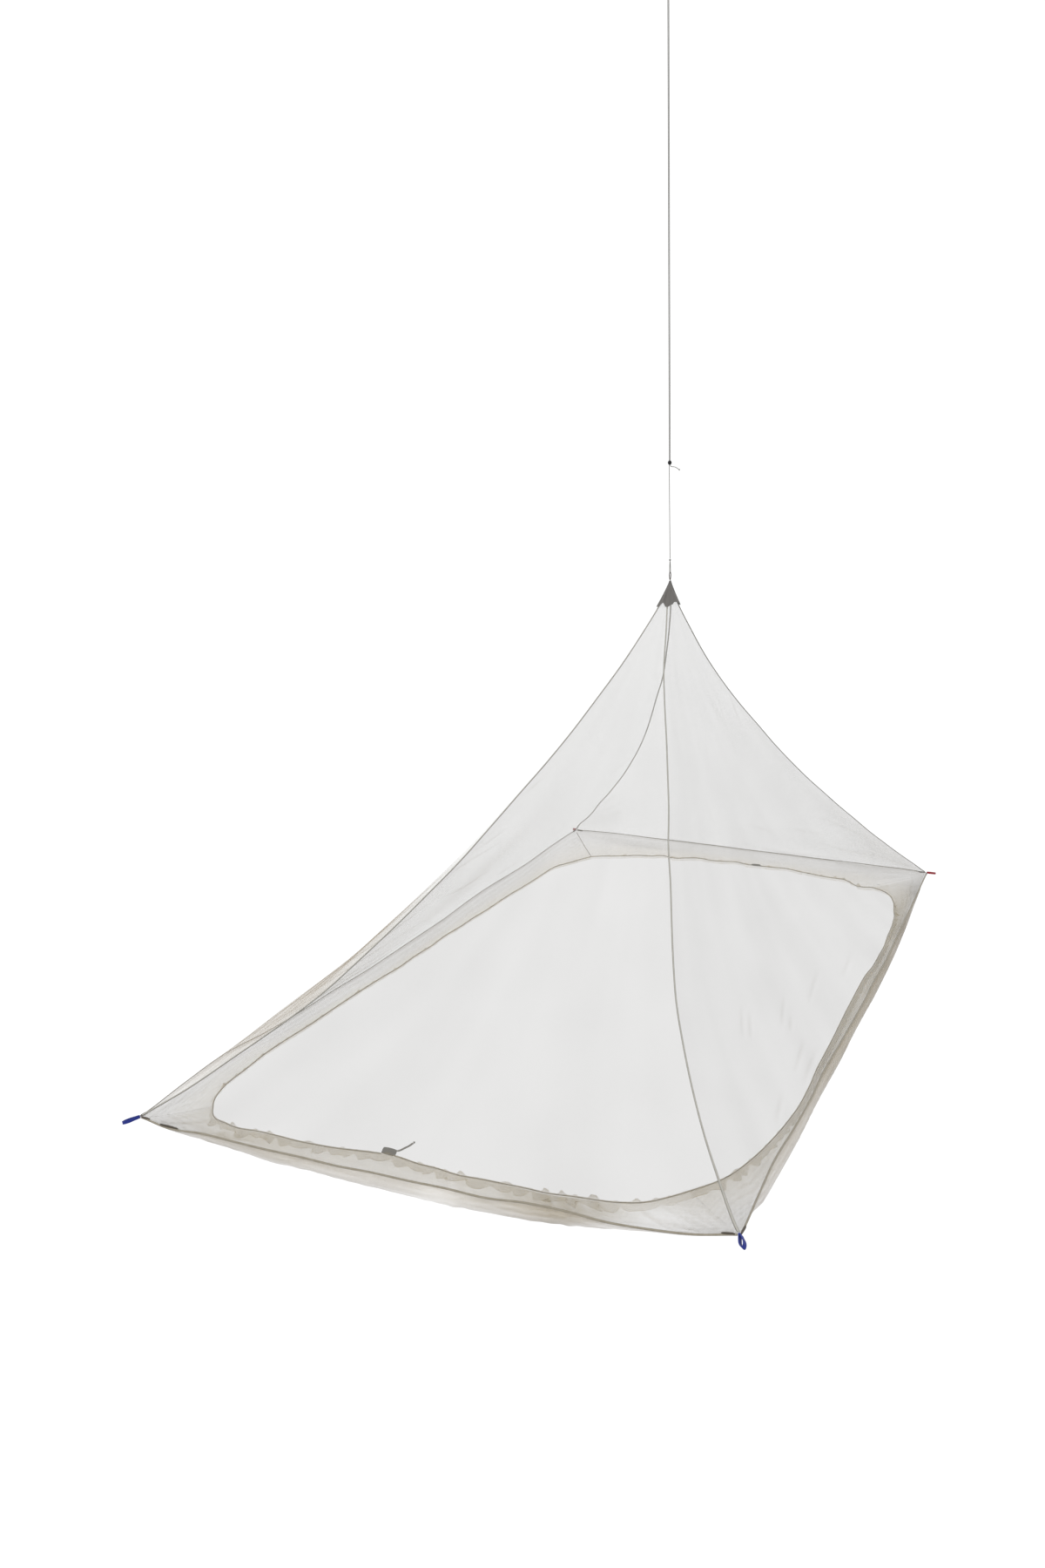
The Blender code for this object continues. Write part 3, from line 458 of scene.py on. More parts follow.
def build_stitches(tree, given):
    """Dark thread in a row near each edge of a strip, and how near a point is to an edge."""
    axes = node(tree, "SeparateXYZ", {0: given["Map"]}).outputs
    across = number(tree, "DIVIDE", number(tree, "ABSOLUTE", axes[0]), given["Width"])
    edge = node(tree, "MapRange", {0: across, 1: 0.20, 2: 0.42, 3: 0.0, 4: 1.0}).outputs[0]
    along = number(tree, "DIVIDE", number(tree, "MULTIPLY", axes[1], 2 * pi), given["Pitch"])
    from_row = number(tree, "ABSOLUTE", number(tree, "SUBTRACT", across, 0.27))
    in_row = number(tree, "LESS_THAN", from_row, 0.045)
    stitched = number(tree, "GREATER_THAN", number(tree, "SINE", along), -0.1)
    thread = number(tree, "MULTIPLY", stitched, in_row)
    return {"Thread": thread, "Edge": edge}


def build_braid(tree, given):
    """Two sets of diagonal waves that cross."""
    turned = [node(tree, "Mapping", {"Vector": given["Map"], "Rotation": (radians(turn), 0, radians(20))})
              for turn in (35, -35)]
    waves = waves_of(tree, [made.outputs[0] for made in turned], given["Pitch"], "ZZ")
    return {"Braid": number(tree, "MAXIMUM", *waves)}


def build_fade(tree, given):
    """Wear in cloudy patches: the colour goes some way to a paler one."""
    spotted = {"Vector": given["Map"], "Scale": given["Scale"], "Detail": 4.0}
    amount = number(tree, "MULTIPLY", node(tree, "TexNoise", spotted).outputs[0], given["Amount"])
    return {"Colour": blend_colour(tree, amount, given["Colour"], (0.62, 0.60, 0.55))}


weave_group = effect_group("weave", build_weave, ("Map", "Pitch"), ("Mesh", "Cloth", "Ribs"))
net_group = effect_group("net cover", build_net, ("Map", "Flow", "Cover", "Pitch"), ("Stopped", "Streak"))
stitch_group = effect_group("stitches", build_stitches, ("Map", "Width", "Pitch"), ("Thread", "Edge"))
braid_group = effect_group("braid", build_braid, ("Map", "Pitch"), ("Braid",))
fade_group = effect_group("fade", build_fade, ("Map", "Colour", "Scale", "Amount"), ("Colour",))
print("shared effects:", [group.name for group in bpy.data.node_groups])

# %% [markdown]
# ### Netting
# One layer takes away only part of the light. Where the cloth is gathered, folded or pulled into a
# crease, more threads lie behind each other and it looks darker. So the mesh carries a number, named
# cover, that thickens the net, and the tree adds thin streaks that follow the pull of the cloth.

# %% Netting finish
WEAVE = 0.0006


def netting_look(name, loose, crowded):
    """Net that stops as much light as its mesh says, from its loose colour to its crowded one."""
    made, shader = look(name, loose, 0.9)
    tree = made.node_tree
    cover = node(tree, "Attribute", attribute_name="cover").outputs["Fac"]
    tint = node(tree, "Attribute", attribute_name="tint").outputs["Fac"]
    net = placed(tree, net_group, Map=map_of(tree), Flow=map_of(tree, "flow"), Cover=cover, Pitch=WEAVE)
    tree.links.new(net["Stopped"], shader.inputs["Alpha"])
    coat(tree, shader, blend_colour(tree, tint, loose, crowded), 0.15, 0.002, net["Streak"])
    return made


CROWDED = (0.32, 0.275, 0.21)
netting = netting_look("netting", (0.26, 0.255, 0.245), CROWDED)
skirting = netting_look("gathered netting", (0.245, 0.212, 0.168), (0.35, 0.25, 0.06))
# The head and left walls are the same net as the foot and right walls; this copy of it is painted a much
# paler colour: painted light, not a sheerer cloth.
lighter_painted_netting = netting_look("netting painted lighter", (0.66, 0.66, 0.65), CROWDED)
print("netting finishes:", netting.name, lighter_painted_netting.name)

# %% [markdown]
# ### Seam binding, cords and webbing
# The seams are bound with a greenish beige strip, stitched near both edges. The cords are braided
# and the loops are woven, so these finishes are crossing waves on the piece's own map.

# %% Woven finishes
def bound_look(name, colour, dark, stitch_pitch, width, clear=1.0):
    """A strip whose map runs across it (u, metres) and along it (v, metres)."""
    made, shader = look(name, colour, 0.85, sheen=0.2)
    tree = made.node_tree
    cloth = map_of(tree)
    stitches = placed(tree, stitch_group, Map=cloth, Width=width, Pitch=stitch_pitch)
    base = blend_colour(tree, stitches["Edge"], colour, dark)
    worn = placed(tree, fade_group, Map=cloth, Colour=base, Scale=60.0, Amount=0.35)["Colour"]
    sewn = blend_colour(tree, number(tree, "MULTIPLY", stitches["Thread"], 0.55), worn, (0.10, 0.10, 0.08))
    ribs = placed(tree, weave_group, Map=cloth, Pitch=0.00032)["Ribs"]
    coat(tree, shader, sewn, 0.4, 0.0003, number(tree, "ADD", stitches["Thread"], ribs))
    if clear < 1.0:
        shader.inputs["Alpha"].default_value = clear
    return made


seam_look = bound_look("seam binding", (0.36, 0.35, 0.315), (0.10, 0.095, 0.078), 0.0030, 0.0050)
base_seam_look = bound_look("base seam", (0.20, 0.17, 0.115), (0.105, 0.088, 0.058), 0.0060, 0.0042)
mitre_look = bound_look("skirt seam", (0.36, 0.33, 0.27), (0.30, 0.27, 0.21), 0.0045, 0.0040, clear=0.12)


def braid_look(name, colour, dark, pitch):
    """A braided cord: two sets of diagonal waves on Object coordinates."""
    made, shader = look(name, colour, 0.75, sheen=0.3)
    tree = made.node_tree
    spot = node(tree, "TexCoord").outputs["Object"]
    braid = placed(tree, braid_group, Map=spot, Pitch=pitch)["Braid"]
    coat(tree, shader, blend_colour(tree, braid, dark, colour), 0.6, 0.0002, braid)
    return made


cord_look = braid_look("braided cord", (0.17, 0.165, 0.15), (0.085, 0.083, 0.075), 0.0007)
draw_look = braid_look("drawcord", (0.20, 0.18, 0.14), (0.10, 0.09, 0.07), 0.0007)


def webbing_look(name, colour, dark, pitch=0.0012):
    made, shader = look(name, colour, 0.8, sheen=0.08)
    tree = made.node_tree
    weave = placed(tree, weave_group, Map=map_of(tree), Pitch=pitch)["Cloth"]
    tone = blend_colour(tree, weave, dark, colour)
    faded = placed(tree, fade_group, Map=map_of(tree), Colour=tone, Scale=90.0, Amount=0.04)["Colour"]
    coat(tree, shader, faded, 0.7, 0.0003, weave)
    return made


blue_look = webbing_look("blue webbing", (0.004, 0.030, 0.36), (0.001, 0.008, 0.12))
red_look = webbing_look("red webbing", (0.42, 0.006, 0.020), (0.16, 0.002, 0.008))
tab_look = webbing_look("tab webbing", (0.105, 0.085, 0.065), (0.040, 0.032, 0.024))
sleeve_look = webbing_look("sleeve tape", (0.17, 0.155, 0.115), (0.07, 0.063, 0.047))
cap_look = webbing_look("cap cloth", (0.175, 0.165, 0.155), (0.10, 0.095, 0.09), 0.0010)
lock_look = look("lock plastic", (0.012, 0.012, 0.013), 0.38)[0]
print("woven finishes ready")

# %% [markdown]
# ## Shared ways of making
# A sheet of net is a grid of points with two maps: one in metres for the cloth itself, and one that
# runs with its pull, so that creases can follow it. A cord is a curve with a round section.

# %% Helpers for sheets and cords
def cloth_mesh(name, points, faces, maps, finish):
    """A smooth mesh with its finish and its named maps, whose values are given point by point."""
    mesh = bpy.data.meshes.new(name)
    mesh.from_pydata([tuple(point) for point in points], [], faces)
    loops = np.array([loop.vertex_index for loop in mesh.loops])
    for label, values in maps.items():
        layer = mesh.uv_layers.new(name=label)
        layer.data.foreach_set("uv", np.reshape(values, (-1, 2))[loops].ravel())
    mesh.materials.append(finish)
    mesh.shade_smooth()
    return mesh


def net_sheet(name, grid, cloth, flow, numbers, finish):
    """A one-layer sheet through grid[row][column], with its maps and its numbers."""
    rows, columns = grid.shape[:2]
    index = np.arange(rows * columns).reshape(rows, columns)
    faces = np.stack([index[:-1, :-1], index[:-1, 1:], index[1:, 1:], index[1:, :-1]], -1)
    mesh = cloth_mesh(name, grid.reshape(-1, 3).tolist(), faces.reshape(-1, 4).tolist(),
                      {"cloth": cloth, "flow": flow}, finish)
    for label, values in numbers.items():
        attribute = mesh.attributes.new(label, "FLOAT", "POINT")
        attribute.data.foreach_set("value", values.ravel().astype(np.float32))
    return linked(name, mesh)


def sheet_area(piece):
    return sum(face.area for face in piece.data.polygons)


def cord_curve(name, points, radius, finish, cyclic=False):
    curve = bpy.data.curves.new(name, "CURVE")
    curve.dimensions = "3D"
    curve.bevel_depth = radius
    curve.bevel_resolution = 3
    curve.use_fill_caps = True
    spline = curve.splines.new("POLY")
    spline.points.add(len(points) - 1)
    for spot, point in zip(spline.points, points):
        spot.co = (*point, 1.0)
    spline.use_cyclic_u = cyclic
    spline.use_smooth = True
    curve.materials.append(finish)
    return linked(name, curve)


def smooth_route(corners, steps):
    ends = [corners[0] * 2 - corners[1]] + list(corners) + [corners[-1] * 2 - corners[-2]]
    points = []
    for index in range(1, len(ends) - 2):
        points += [smooth_between(*ends[index - 1:index + 3], step / steps) for step in range(steps)]
    return points + [corners[-1]]


def settle(piece, slot, *replaced):
    """Every piece rides on the one body and stands for its CAD nodes; the slot is not used."""
    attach(piece, "root")
    if replaced:
        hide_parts(*replaced)
    return piece


print("sheet and cord helpers ready")

# %% [markdown]
# ## Hang cord
# One grey cord does everything. It is tied with a small eye through the loop on the cap, rises as a
# single strand to a black lock, goes on up, bends over whatever holds it, comes back down beside
# itself through the lock and ends in a short knotted tail.

# %% Hang cord
CORD_ARM = 0.001
STRAND_SPACING = 0.0027
GAP = 0.0003
HANG_KNOT, HANG_KNOT_ARM = 1.0386 - HANG_HEIGHT, 0.0032
LOCK, LOCK_ARM = 1.3014 - HANG_HEIGHT, 0.0058
TOP_BEND, TOP_EYE = 0.0080, 0.034
TAIL_KNOT_ARM = 0.0024
half = STRAND_SPACING / 2
cord_start = HANG_KNOT + HANG_KNOT_ARM + GAP
top_centre = CORD_ARM - TOP_BEND
rise = [
    (0.0, cord_start), (-half * 0.25, cord_start + 0.06), (-half * 0.7, cord_start + 0.16),
    (-half, LOCK - 0.03), (-half, LOCK), (-half, LOCK + 0.05),
]
rise += [(-half, LOCK + (top_centre - TOP_EYE - LOCK) * part) for part in (0.25, 0.5, 0.75)]
rise += [
    (-half, top_centre - TOP_EYE), (-half * 1.5, top_centre - TOP_EYE * 0.75),
    (-half * 3.2, top_centre - TOP_EYE * 0.46), (-TOP_BEND * 0.93, top_centre - 0.006),
]
hang_route = [Vector((x, 0, z)) for x, z in rise]
for step in range(1, 10):
    turn = pi * step / 10
    hang_route.append(Vector((-cos(turn) * TOP_BEND, 0, top_centre + sin(turn) * TOP_BEND)))
hang_route += [Vector((-x, 0, z)) for x, z in reversed(rise[4:])]
tail_exit = Vector((half, 0, LOCK - LOCK_ARM))
TAIL_STEPS = (
    (0.0006, 0.0000, -0.0021), (0.0021, 0.0002, -0.0042), (0.0060, 0.0003, -0.0052),
    (0.0125, 0.0004, -0.0060), (0.0180, 0.0002, -0.0086), (0.0237, 0.0000, -0.0125),
)
hang_route += smooth_route([tail_exit] + [tail_exit + Vector(step) for step in TAIL_STEPS], 3)
hang_cord = settle(cord_curve("cord_hang", hang_route, CORD_ARM, cord_look), "grey_cord", "hang_cord")
print("hang cord", round(route_length(hang_route), 3), "m of", len(hang_route), "points")

# %% [markdown]
# ### Knots and the eye
# A knot is a cord wound through itself. A small trefoil of the same cord, pulled tight, gives the
# right lumpy outline at this size.

# %% Knots and eye
def knot_piece(name, centre, reach, finish, *replaced):
    scale = (reach - CORD_ARM) / 3.0
    turns = [2 * pi * step / 36 for step in range(36)]
    points = [centre + Vector((
        (sin(t) + 2 * sin(2 * t)) * scale, -sin(3 * t) * scale * 1.3,
        (cos(t) - 2 * cos(2 * t)) * scale,
    )) for t in turns]
    return settle(cord_curve(name, points, CORD_ARM * 0.98, finish, cyclic=True), "grey_cord", *replaced)


hang_knot = knot_piece("knot_hang", Vector((0, 0, HANG_KNOT)), HANG_KNOT_ARM, cord_look, "hang_knot")
tail_run = (hang_route[-1] - hang_route[-2]).normalized()
tail_knot = knot_piece(
    "knot_tail", hang_route[-1] + tail_run * (TAIL_KNOT_ARM + GAP), TAIL_KNOT_ARM, cord_look,
    "hang_tail_knot")

LOOP_HIGH, LOOP_THICK, EYE_BEND = 0.0230, 0.0018, 0.0040
bar = PEAK.z + GAP + LOOP_HIGH - LOOP_THICK
bend = Vector((0, 0, bar + 0.0021))
eye_top = HANG_KNOT - HANG_KNOT_ARM - GAP
arc = [bend + Vector((0, -cos(pi * s / 10) * EYE_BEND, -sin(pi * s / 10) * EYE_BEND)) for s in range(11)]
near = [Vector((0, -half, eye_top)), Vector((0, -half * 1.6, eye_top - 0.006)),
        Vector((0, -EYE_BEND * 0.85, eye_top - 0.014))]
eye_route = near + arc + [Vector((0, -p.y, p.z)) for p in reversed(near)]
hang_eye = settle(cord_curve("cord_eye", eye_route, CORD_ARM, cord_look), "grey_cord", "hang_eye")

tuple(hang_route[0])
route_length(hang_route)
print("eye", round(route_length(eye_route), 3), "m")

# %% [markdown]
# ## Drawcord
# The drawcord runs hidden in a casing at the skirt's inner edge, in two lengths between two stitched
# sleeves. Its two ends leave the foot sleeve side by side and share a knot.

# %% Drawcord and its tails
SLEEVE = (0.030, 0.014, 0.0045)
SLEEVE_X = {"foot": -0.0775, "head": 0.062}
SLEEVE_ROLL, SLEEVE_LAP = 34, -0.0002


def rim_at(side, x):
    """The point of an end's wandering rim at a place across the net."""
    line = rims[side]
    for near, far in zip(line, line[1:]):
        if (near.x - x) * (far.x - x) <= 0:
            return near.lerp(far, (x - near.x) / (far.x - near.x))


def sleeve_place(side):
    on_cord = rim_at(side, SLEEVE_X[side])
    across = Matrix.Rotation(radians(SLEEVE_ROLL) * inward(side).y, 3, "X") @ inward(side)
    return on_cord + across * (SLEEVE[1] / 2 - SLEEVE_LAP), across


def draw_line(start, middle, end, way):
    """The drawcord from one sleeve to the other, by way of one long side."""
    leaves = {side: SLEEVE_X[side] + way * (SLEEVE[0] / 2 + GAP) for side in (start, end)}
    line = [rim_at(start, leaves[start])]
    line += [p for p in rims[start][1:] if p.x * way > leaves[start] * way] + rims[middle][1:]
    line += [p for p in rims[end][1:] if p.x * way > leaves[end] * way]
    return line + [rim_at(end, leaves[end])]


draw_lines = {"right": draw_line("foot", "right", "head", 1), "left": draw_line("head", "left", "foot", -1)}
for side, line in draw_lines.items():
    settle(cord_curve(f"drawcord_{side}_line", line, CORD_ARM, draw_look), "grey_cord", f"drawcord_{side}")

DRAW_TAIL = ((0.0030, 0.0, 0.0004), (0.0068, 0.0044, 0.0012), (0.0100, 0.0120, 0.0018),
             (0.0136, 0.0210, 0.0020), (0.0180, 0.0300, 0.0046))
sleeve_centre, sleeve_across = sleeve_place("foot")
draw_exit = sleeve_centre + Vector((SLEEVE[0] / 2 + GAP * 2, 0, 0)) + sleeve_across * SLEEVE[1] * 0.3
tail_line = smooth_route([draw_exit] + [draw_exit + Vector(step) for step in DRAW_TAIL], 3)


def offset_level(points, distance):
    """A line beside another one, at its own height."""
    runs = [(far - near).to_2d().normalized() for near, far in zip(points, points[1:])]
    moved = []
    for index, point in enumerate(points):
        before, after = runs[max(index - 1, 0)], runs[min(index, len(runs) - 1)]
        middle = (before + after).normalized()
        aside = Vector((middle.y, -middle.x, 0.0)) / max(middle.dot(before), 0.5)
        moved.append(point + aside * distance)
    return moved


draw_tails = []
for number_of, shift in ((1, -0.5), (2, 0.5)):
    line = offset_level(tail_line, shift * STRAND_SPACING)
    line[-1] -= (line[-1] - line[-2]).normalized() * GAP
    tail = cord_curve(f"cord_tail_{number_of}", line, CORD_ARM, draw_look)
    settle(tail, "grey_cord", f"drawcord_tail_{number_of}")
    draw_tails.append((tail, line))
draw_run = (tail_line[-1] - tail_line[-2]).normalized()
draw_knot = knot_piece(
    "knot_drawcord", tail_line[-1] + draw_run * (TAIL_KNOT_ARM + GAP), TAIL_KNOT_ARM, draw_look,
    "drawcord_tail_knot")
for tail, line in draw_tails:
    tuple(line[0])
    route_length(line)
print("drawcord", round(sum(route_length(line) for line in draw_lines.values()), 2), "m")

# %% [markdown]
# ## Netting walls
# Each wall is one panel of net between two ridge seams. It hangs in the hollow shape of a tent pulled
# up at one point, so it is made as a grid: rows climb the two seams, and columns fan out from the
# cap, as the pull of the cloth does. The long soft folds come next, then small creases, one by one.

# %% Wall shapes
FOLDS = (
    ("foot", 0.22, 0.005, 0.09, 0.45), ("foot", 0.55, -0.004, 0.12, 0.35),
    ("foot", 0.80, 0.006, 0.08, 0.30), ("right", 0.14, 0.008, 0.06, 0.30),
    ("right", 0.33, -0.005, 0.08, 0.40), ("right", 0.62, 0.007, 0.09, 0.45),
    ("right", 0.84, 0.009, 0.06, 0.30), ("head", 0.30, 0.004, 0.10, 0.40),
    ("head", 0.72, -0.004, 0.10, 0.35), ("left", 0.20, 0.006, 0.08, 0.35),
    ("left", 0.46, -0.004, 0.10, 0.40), ("left", 0.66, 0.005, 0.07, 0.30),
)
WALL_TOP, WALL_STEP, WALL_CLIMB, TAPE_LAP = 0.9425, 0.0075, 1.6, 0.0020
BILLOWS = {"foot": (0.0, 0.5, 0.4), "right": (0.004, 0.5, 0.4), "head": (0.0, 0.5, 0.4),
           "left": (0.030, 0.80, 0.30)}


def ridge_share(name, height):
    """The share of the way up a ridge at which it reaches a height above the base."""
    low, high = 0.85, 1.0
    for _ in range(40):
        middle = (low + high) / 2
        if ridge_point(name, middle).z < height - HANG_HEIGHT:
            low = middle
        else:
            high = middle
    return low


def ridge_line(name, shares):
    """The ridge at the given shares of the way to its top, and its level sideways directions."""
    top = ridge_share(name, WALL_TOP)
    points, sides = [], []
    for share in shares:
        at = top * share
        points.append(ridge_seen(name, at))
        run = ridge_seen(name, min(at + 0.004, 1)) - ridge_seen(name, max(at - 0.004, 0))
        sides.append(Vector((0, 0, 1)).cross(run.normalized()).normalized())
    return points, sides


def bow_row(values, peak, fullness):
    return np.array([bow(value, peak, fullness) for value in values])


def wall_grid(side):
    """Points by row and column, the wall's outward direction, and the shares and heights used."""
    start, end = side_ends(side)
    shares = np.linspace(0, 1, int((end - start).length / WALL_STEP) + 1)
    ups = np.linspace(0, 1, int(WALL_CLIMB / WALL_STEP) + 1)
    edges = []
    for name in (SIDES[side]["start"], SIDES[side]["end"]):
        points, sides = ridge_line(name, ups)
        for point, sideways, up in zip(points, sides, ups):
            turned = sideways if sideways.dot((start + end) / 2 - point) > 0 else -sideways
            point += turned * TAPE_LAP * min(1.0, up * 12)
        edges.append(np.array(points)[:, None])
    grid = edges[0] * (1 - shares[:, None]) + edges[1] * shares[:, None]
    hang = np.array([seam_seen(side, share) - start.lerp(end, share) for share in shares])
    grid = grid + hang * ((1 - ups) ** 2)[:, None, None]
    swell, swell_along, swell_up = BILLOWS[side]
    depth = swell * np.outer(bow_row(ups, swell_up, 3.0), bow_row(shares, swell_along, 3.0))
    held = np.minimum(1.0, np.minimum(shares, 1 - shares) * 8)
    for name, along, deep, spread, up_peak in FOLDS:
        if name == side:
            across = deep * np.exp(-((shares - along) / spread) ** 2) * held
            depth -= np.outer(bow_row(ups, up_peak, 2.0), across)
    outward = np.array((Vector((0, 0, 1)) - inward(side)).normalized())
    return grid + outward * depth[..., None], outward, shares, ups


print("wall shapes ready")

# %% [markdown]
# ### Creases and shaded places
# A crease in net is a soft trough, and a few threads crowd in it, so it also looks a little darker.
# Beside it runs a paler line, which is a painted highlight. Each crease is drawn between two places
# on its panel, given in thousandths of the panel's width and height. Broad strokes, which also have
# a width and a strength of their own, darken and thicken the net over wider patches.

# %% Creases
CREASES = {
    "right": (
        (684, 812, 656, 742), (703, 798, 678, 737), (794, 803, 684, 723), (962, 793, 853, 718),
        (909, 761, 869, 718), (316, 732, 309, 709), (397, 718, 372, 685), (669, 700, 650, 657),
        (272, 606, 291, 545), (484, 512, 609, 455), (678, 437, 834, 352), (872, 404, 966, 249),
        (788, 338, 919, 197), (919, 197, 1000, 23), (388, 488, 800, 268), (197, 216, 175, 178),
        (212, 197, 191, 164), (319, 160, 278, 131), (312, 122, 291, 108), (453, 136, 378, 113),
        (572, 89, 506, 80), (309, 70, 253, 56), (328, 38, 256, 28), (200, 52, 166, 33),
        (53, 808, 138, 732),
    ),
    "head": (
        (988, 239, 964, 333), (970, 207, 904, 286), (934, 174, 886, 225), (819, 169, 753, 192),
        (861, 66, 753, 155),
    ),
    "left": (
        (809, 451, 725, 488), (834, 601, 803, 629), (184, 516, 50, 540), (819, 408, 675, 437),
        (412, 160, 300, 174), (703, 291, 509, 268), (995, 30, 600, 100), (995, 50, 620, 200),
        (990, 80, 700, 320), (990, 120, 780, 420), (990, 160, 820, 500), (900, 30, 500, 60),
    ),
}
CREASE_LOOK = {"right": (0.0045, 0.062), "head": (0.006, 0.08), "left": (0.005, 0.17)}
SHADES = {
    "right": (
        (991, 56, 966, 380, 0.06, 0.05), (991, 56, 878, 258, 0.05, 0.04),
    ),
    "head": (
        (0, 30, 337, 160, 0.06, 0.08), (30, 50, 100, 400, 0.06, 0.06),
        (1000, 47, 886, 225, 0.06, 0.1),
    ),
    "left": (
        (1000, 20, 960, 300, 0.13, 0.32), (960, 250, 900, 550, 0.1, 0.14),
        (300, 220, 920, 220, 0.2, 0.06), (820, 360, 900, 100, 0.14, 0.22),
        (500, 450, 620, 150, 0.13, 0.14), (620, 150, 760, 0, 0.12, 0.16),
        (980, 20, 660, 30, 0.06, 0.12),
    ),
}
SKIRT_MARKS = {
    "foot": (
        (8, 23, 50, 860, 0.006, 0.16), (17, 163, 12, 907, 0.005, 0.06),
        (33, 302, 183, 930, 0.008, 0.1), (75, 605, 241, 884, 0.006, 0.08),
        (1000, 186, 900, 767, 0.004, 0.14), (1000, 186, 938, 860, 0.004, 0.1),
        (30, 450, 260, 750, 0.031, 0.11), (700, 350, 800, 350, 0.031, 0.08),
        (800, 550, 970, 500, 0.040, -0.20), (500, 250, 580, 250, 0.031, -0.12),
        (680, 800, 870, 620, 0.022, 0.30), (900, 850, 970, 600, 0.031, -0.12),
        (1000, 186, 942, 628, 0.004, 0.1), (1000, 186, 909, 605, 0.004, 0.1),
        (1000, 186, 971, 744, 0.004, 0.08), (1000, 186, 996, 837, 0.004, 0.07),
        (925, 395, 900, 767, 0.005, 0.16),
    ),
    "right": (
        (11, 116, 49, 674, 0.004, 0.08), (23, 163, 68, 651, 0.004, 0.08),
        (34, 140, 102, 535, 0.004, 0.08), (550, 550, 800, 500, 0.031, 0.14),
        (740, 550, 965, 450, 0.034, 0.28), (900, 300, 985, 300, 0.031, 0.20),
    ),
    "head": (
        (996, 116, 657, 419, 0.006, 0.08), (996, 186, 801, 558, 0.005, 0.06),
        (915, 209, 737, 349, 0.005, 0.08), (0, 163, 237, 70, 0.006, 0.08),
        (0, 163, 89, 628, 0.006, 0.07), (0, 163, 280, 651, 0.006, 0.06),
        (20, 300, 220, 600, 0.050, 0.10),
    ),
    "left": (
        (996, 163, 975, 791, 0.004, 0.06), (994, 163, 946, 651, 0.004, 0.05),
        (992, 186, 926, 558, 0.004, 0.06), (998, 163, 1000, 884, 0.004, 0.06),
    ),
}


BROAD = 0.03


def pressed(grid, outward, strokes):
    """How much crowding and how much depth soft strokes give to every point of a grid.

    A stroke runs between two places, given as shares of the grid's width and height, and has a
    width in metres and a strength. One that is broad only shades."""
    crowd, deep = np.zeros(grid.shape[:2]), np.zeros(grid.shape[:2])
    rows, columns = grid.shape[0] - 1, grid.shape[1] - 1
    for share_a, up_a, share_b, up_b, width, strength in strokes:
        near = grid[round(up_a * rows), round(share_a * columns)]
        run = grid[round(up_b * rows), round(share_b * columns)] - near
        length = np.linalg.norm(run) + 1e-6
        away = grid - near
        reached = away @ run / length
        along = np.clip(reached / length, 0.0, 1.0)
        sideways = away @ np.cross(outward, run / length)
        ends = np.exp(-(np.abs(reached - along * length) / width) ** 2)
        ends *= 0.35 + 0.65 * np.sin(pi * np.clip(along, 0.02, 0.98))
        core = np.exp(-(sideways / width) ** 2) * ends
        # beside is a paler strip next to each narrow stroke, with less cover: a painted highlight.
        painted_highlight = np.exp(-((sideways - width * 1.8) / width) ** 2) * ends
        crowd += strength * (core - (0.40 * painted_highlight if width < BROAD else 0.0))
        deep += core * min(width, 0.006) * 0.6 if width < BROAD else 0.0
    return crowd, deep


def in_shares(rows, *added):
    """Rows of a table with their places in thousandths made shares, and more values added."""
    return [(*(value / 1000 for value in row[:4]), *row[4:], *added) for row in rows]


print("creases:", sum(len(rows) for rows in CREASES.values()))

# %% Build the walls
# The head and left walls take a far thinner cover than the foot and right walls, and the paler copy of the
# netting: painted light, so that they look lighter, though the net is one cloth all round.
COVER = {"foot": 0.40, "right": 0.42, "head": 0.08, "left": 0.10}
for side in SIDES:
    grid, outward, shares, ups = wall_grid(side)
    creases = in_shares(CREASES.get(side, ()), *CREASE_LOOK.get(side, ()))
    crowd, deep = pressed(grid, outward, creases + in_shares(SHADES.get(side, ())))
    grid = grid - outward * deep[..., None]
    start, end = side_ends(side)
    wide = (end - start).length
    across, climb = np.meshgrid((shares - 0.5) * wide, ups)
    cloth = np.stack([across * (1 - climb), climb * WALL_CLIMB], -1)
    flow = np.stack([across * 5.0, climb * 1.5], -1)
    cover = np.clip(COVER[side] * (1 - 0.22 * climb ** 3) + crowd, 0.03, 0.95)
    tint = np.clip(crowd / 0.45, 0.0, 1.0)
    finish = netting if side in ("foot", "right") else lighter_painted_netting
    wall = net_sheet(f"net_wall_{side}", grid, cloth, flow, {"cover": cover, "tint": tint}, finish)
    settle(wall, "netting", f"wall_{side}")
    area = sheet_area(wall)
    print(side, "wall", round(area, 3), "m2", len(wall.data.polygons), "faces")

# %% [markdown]
# ## Skirt
# The skirt is sewn to the base seam along its outer edge and drawn in on the drawcord at its inner
# edge, so it droops from the seam in a soft fold and comes back up to the cord. Its cross section is
# one Bezier curve, deeper where more cloth hangs. The crowding at the cord puts short uneven pleats
# across it, and its last centimetre and a half is folded back over the cord and stitched: the casing.

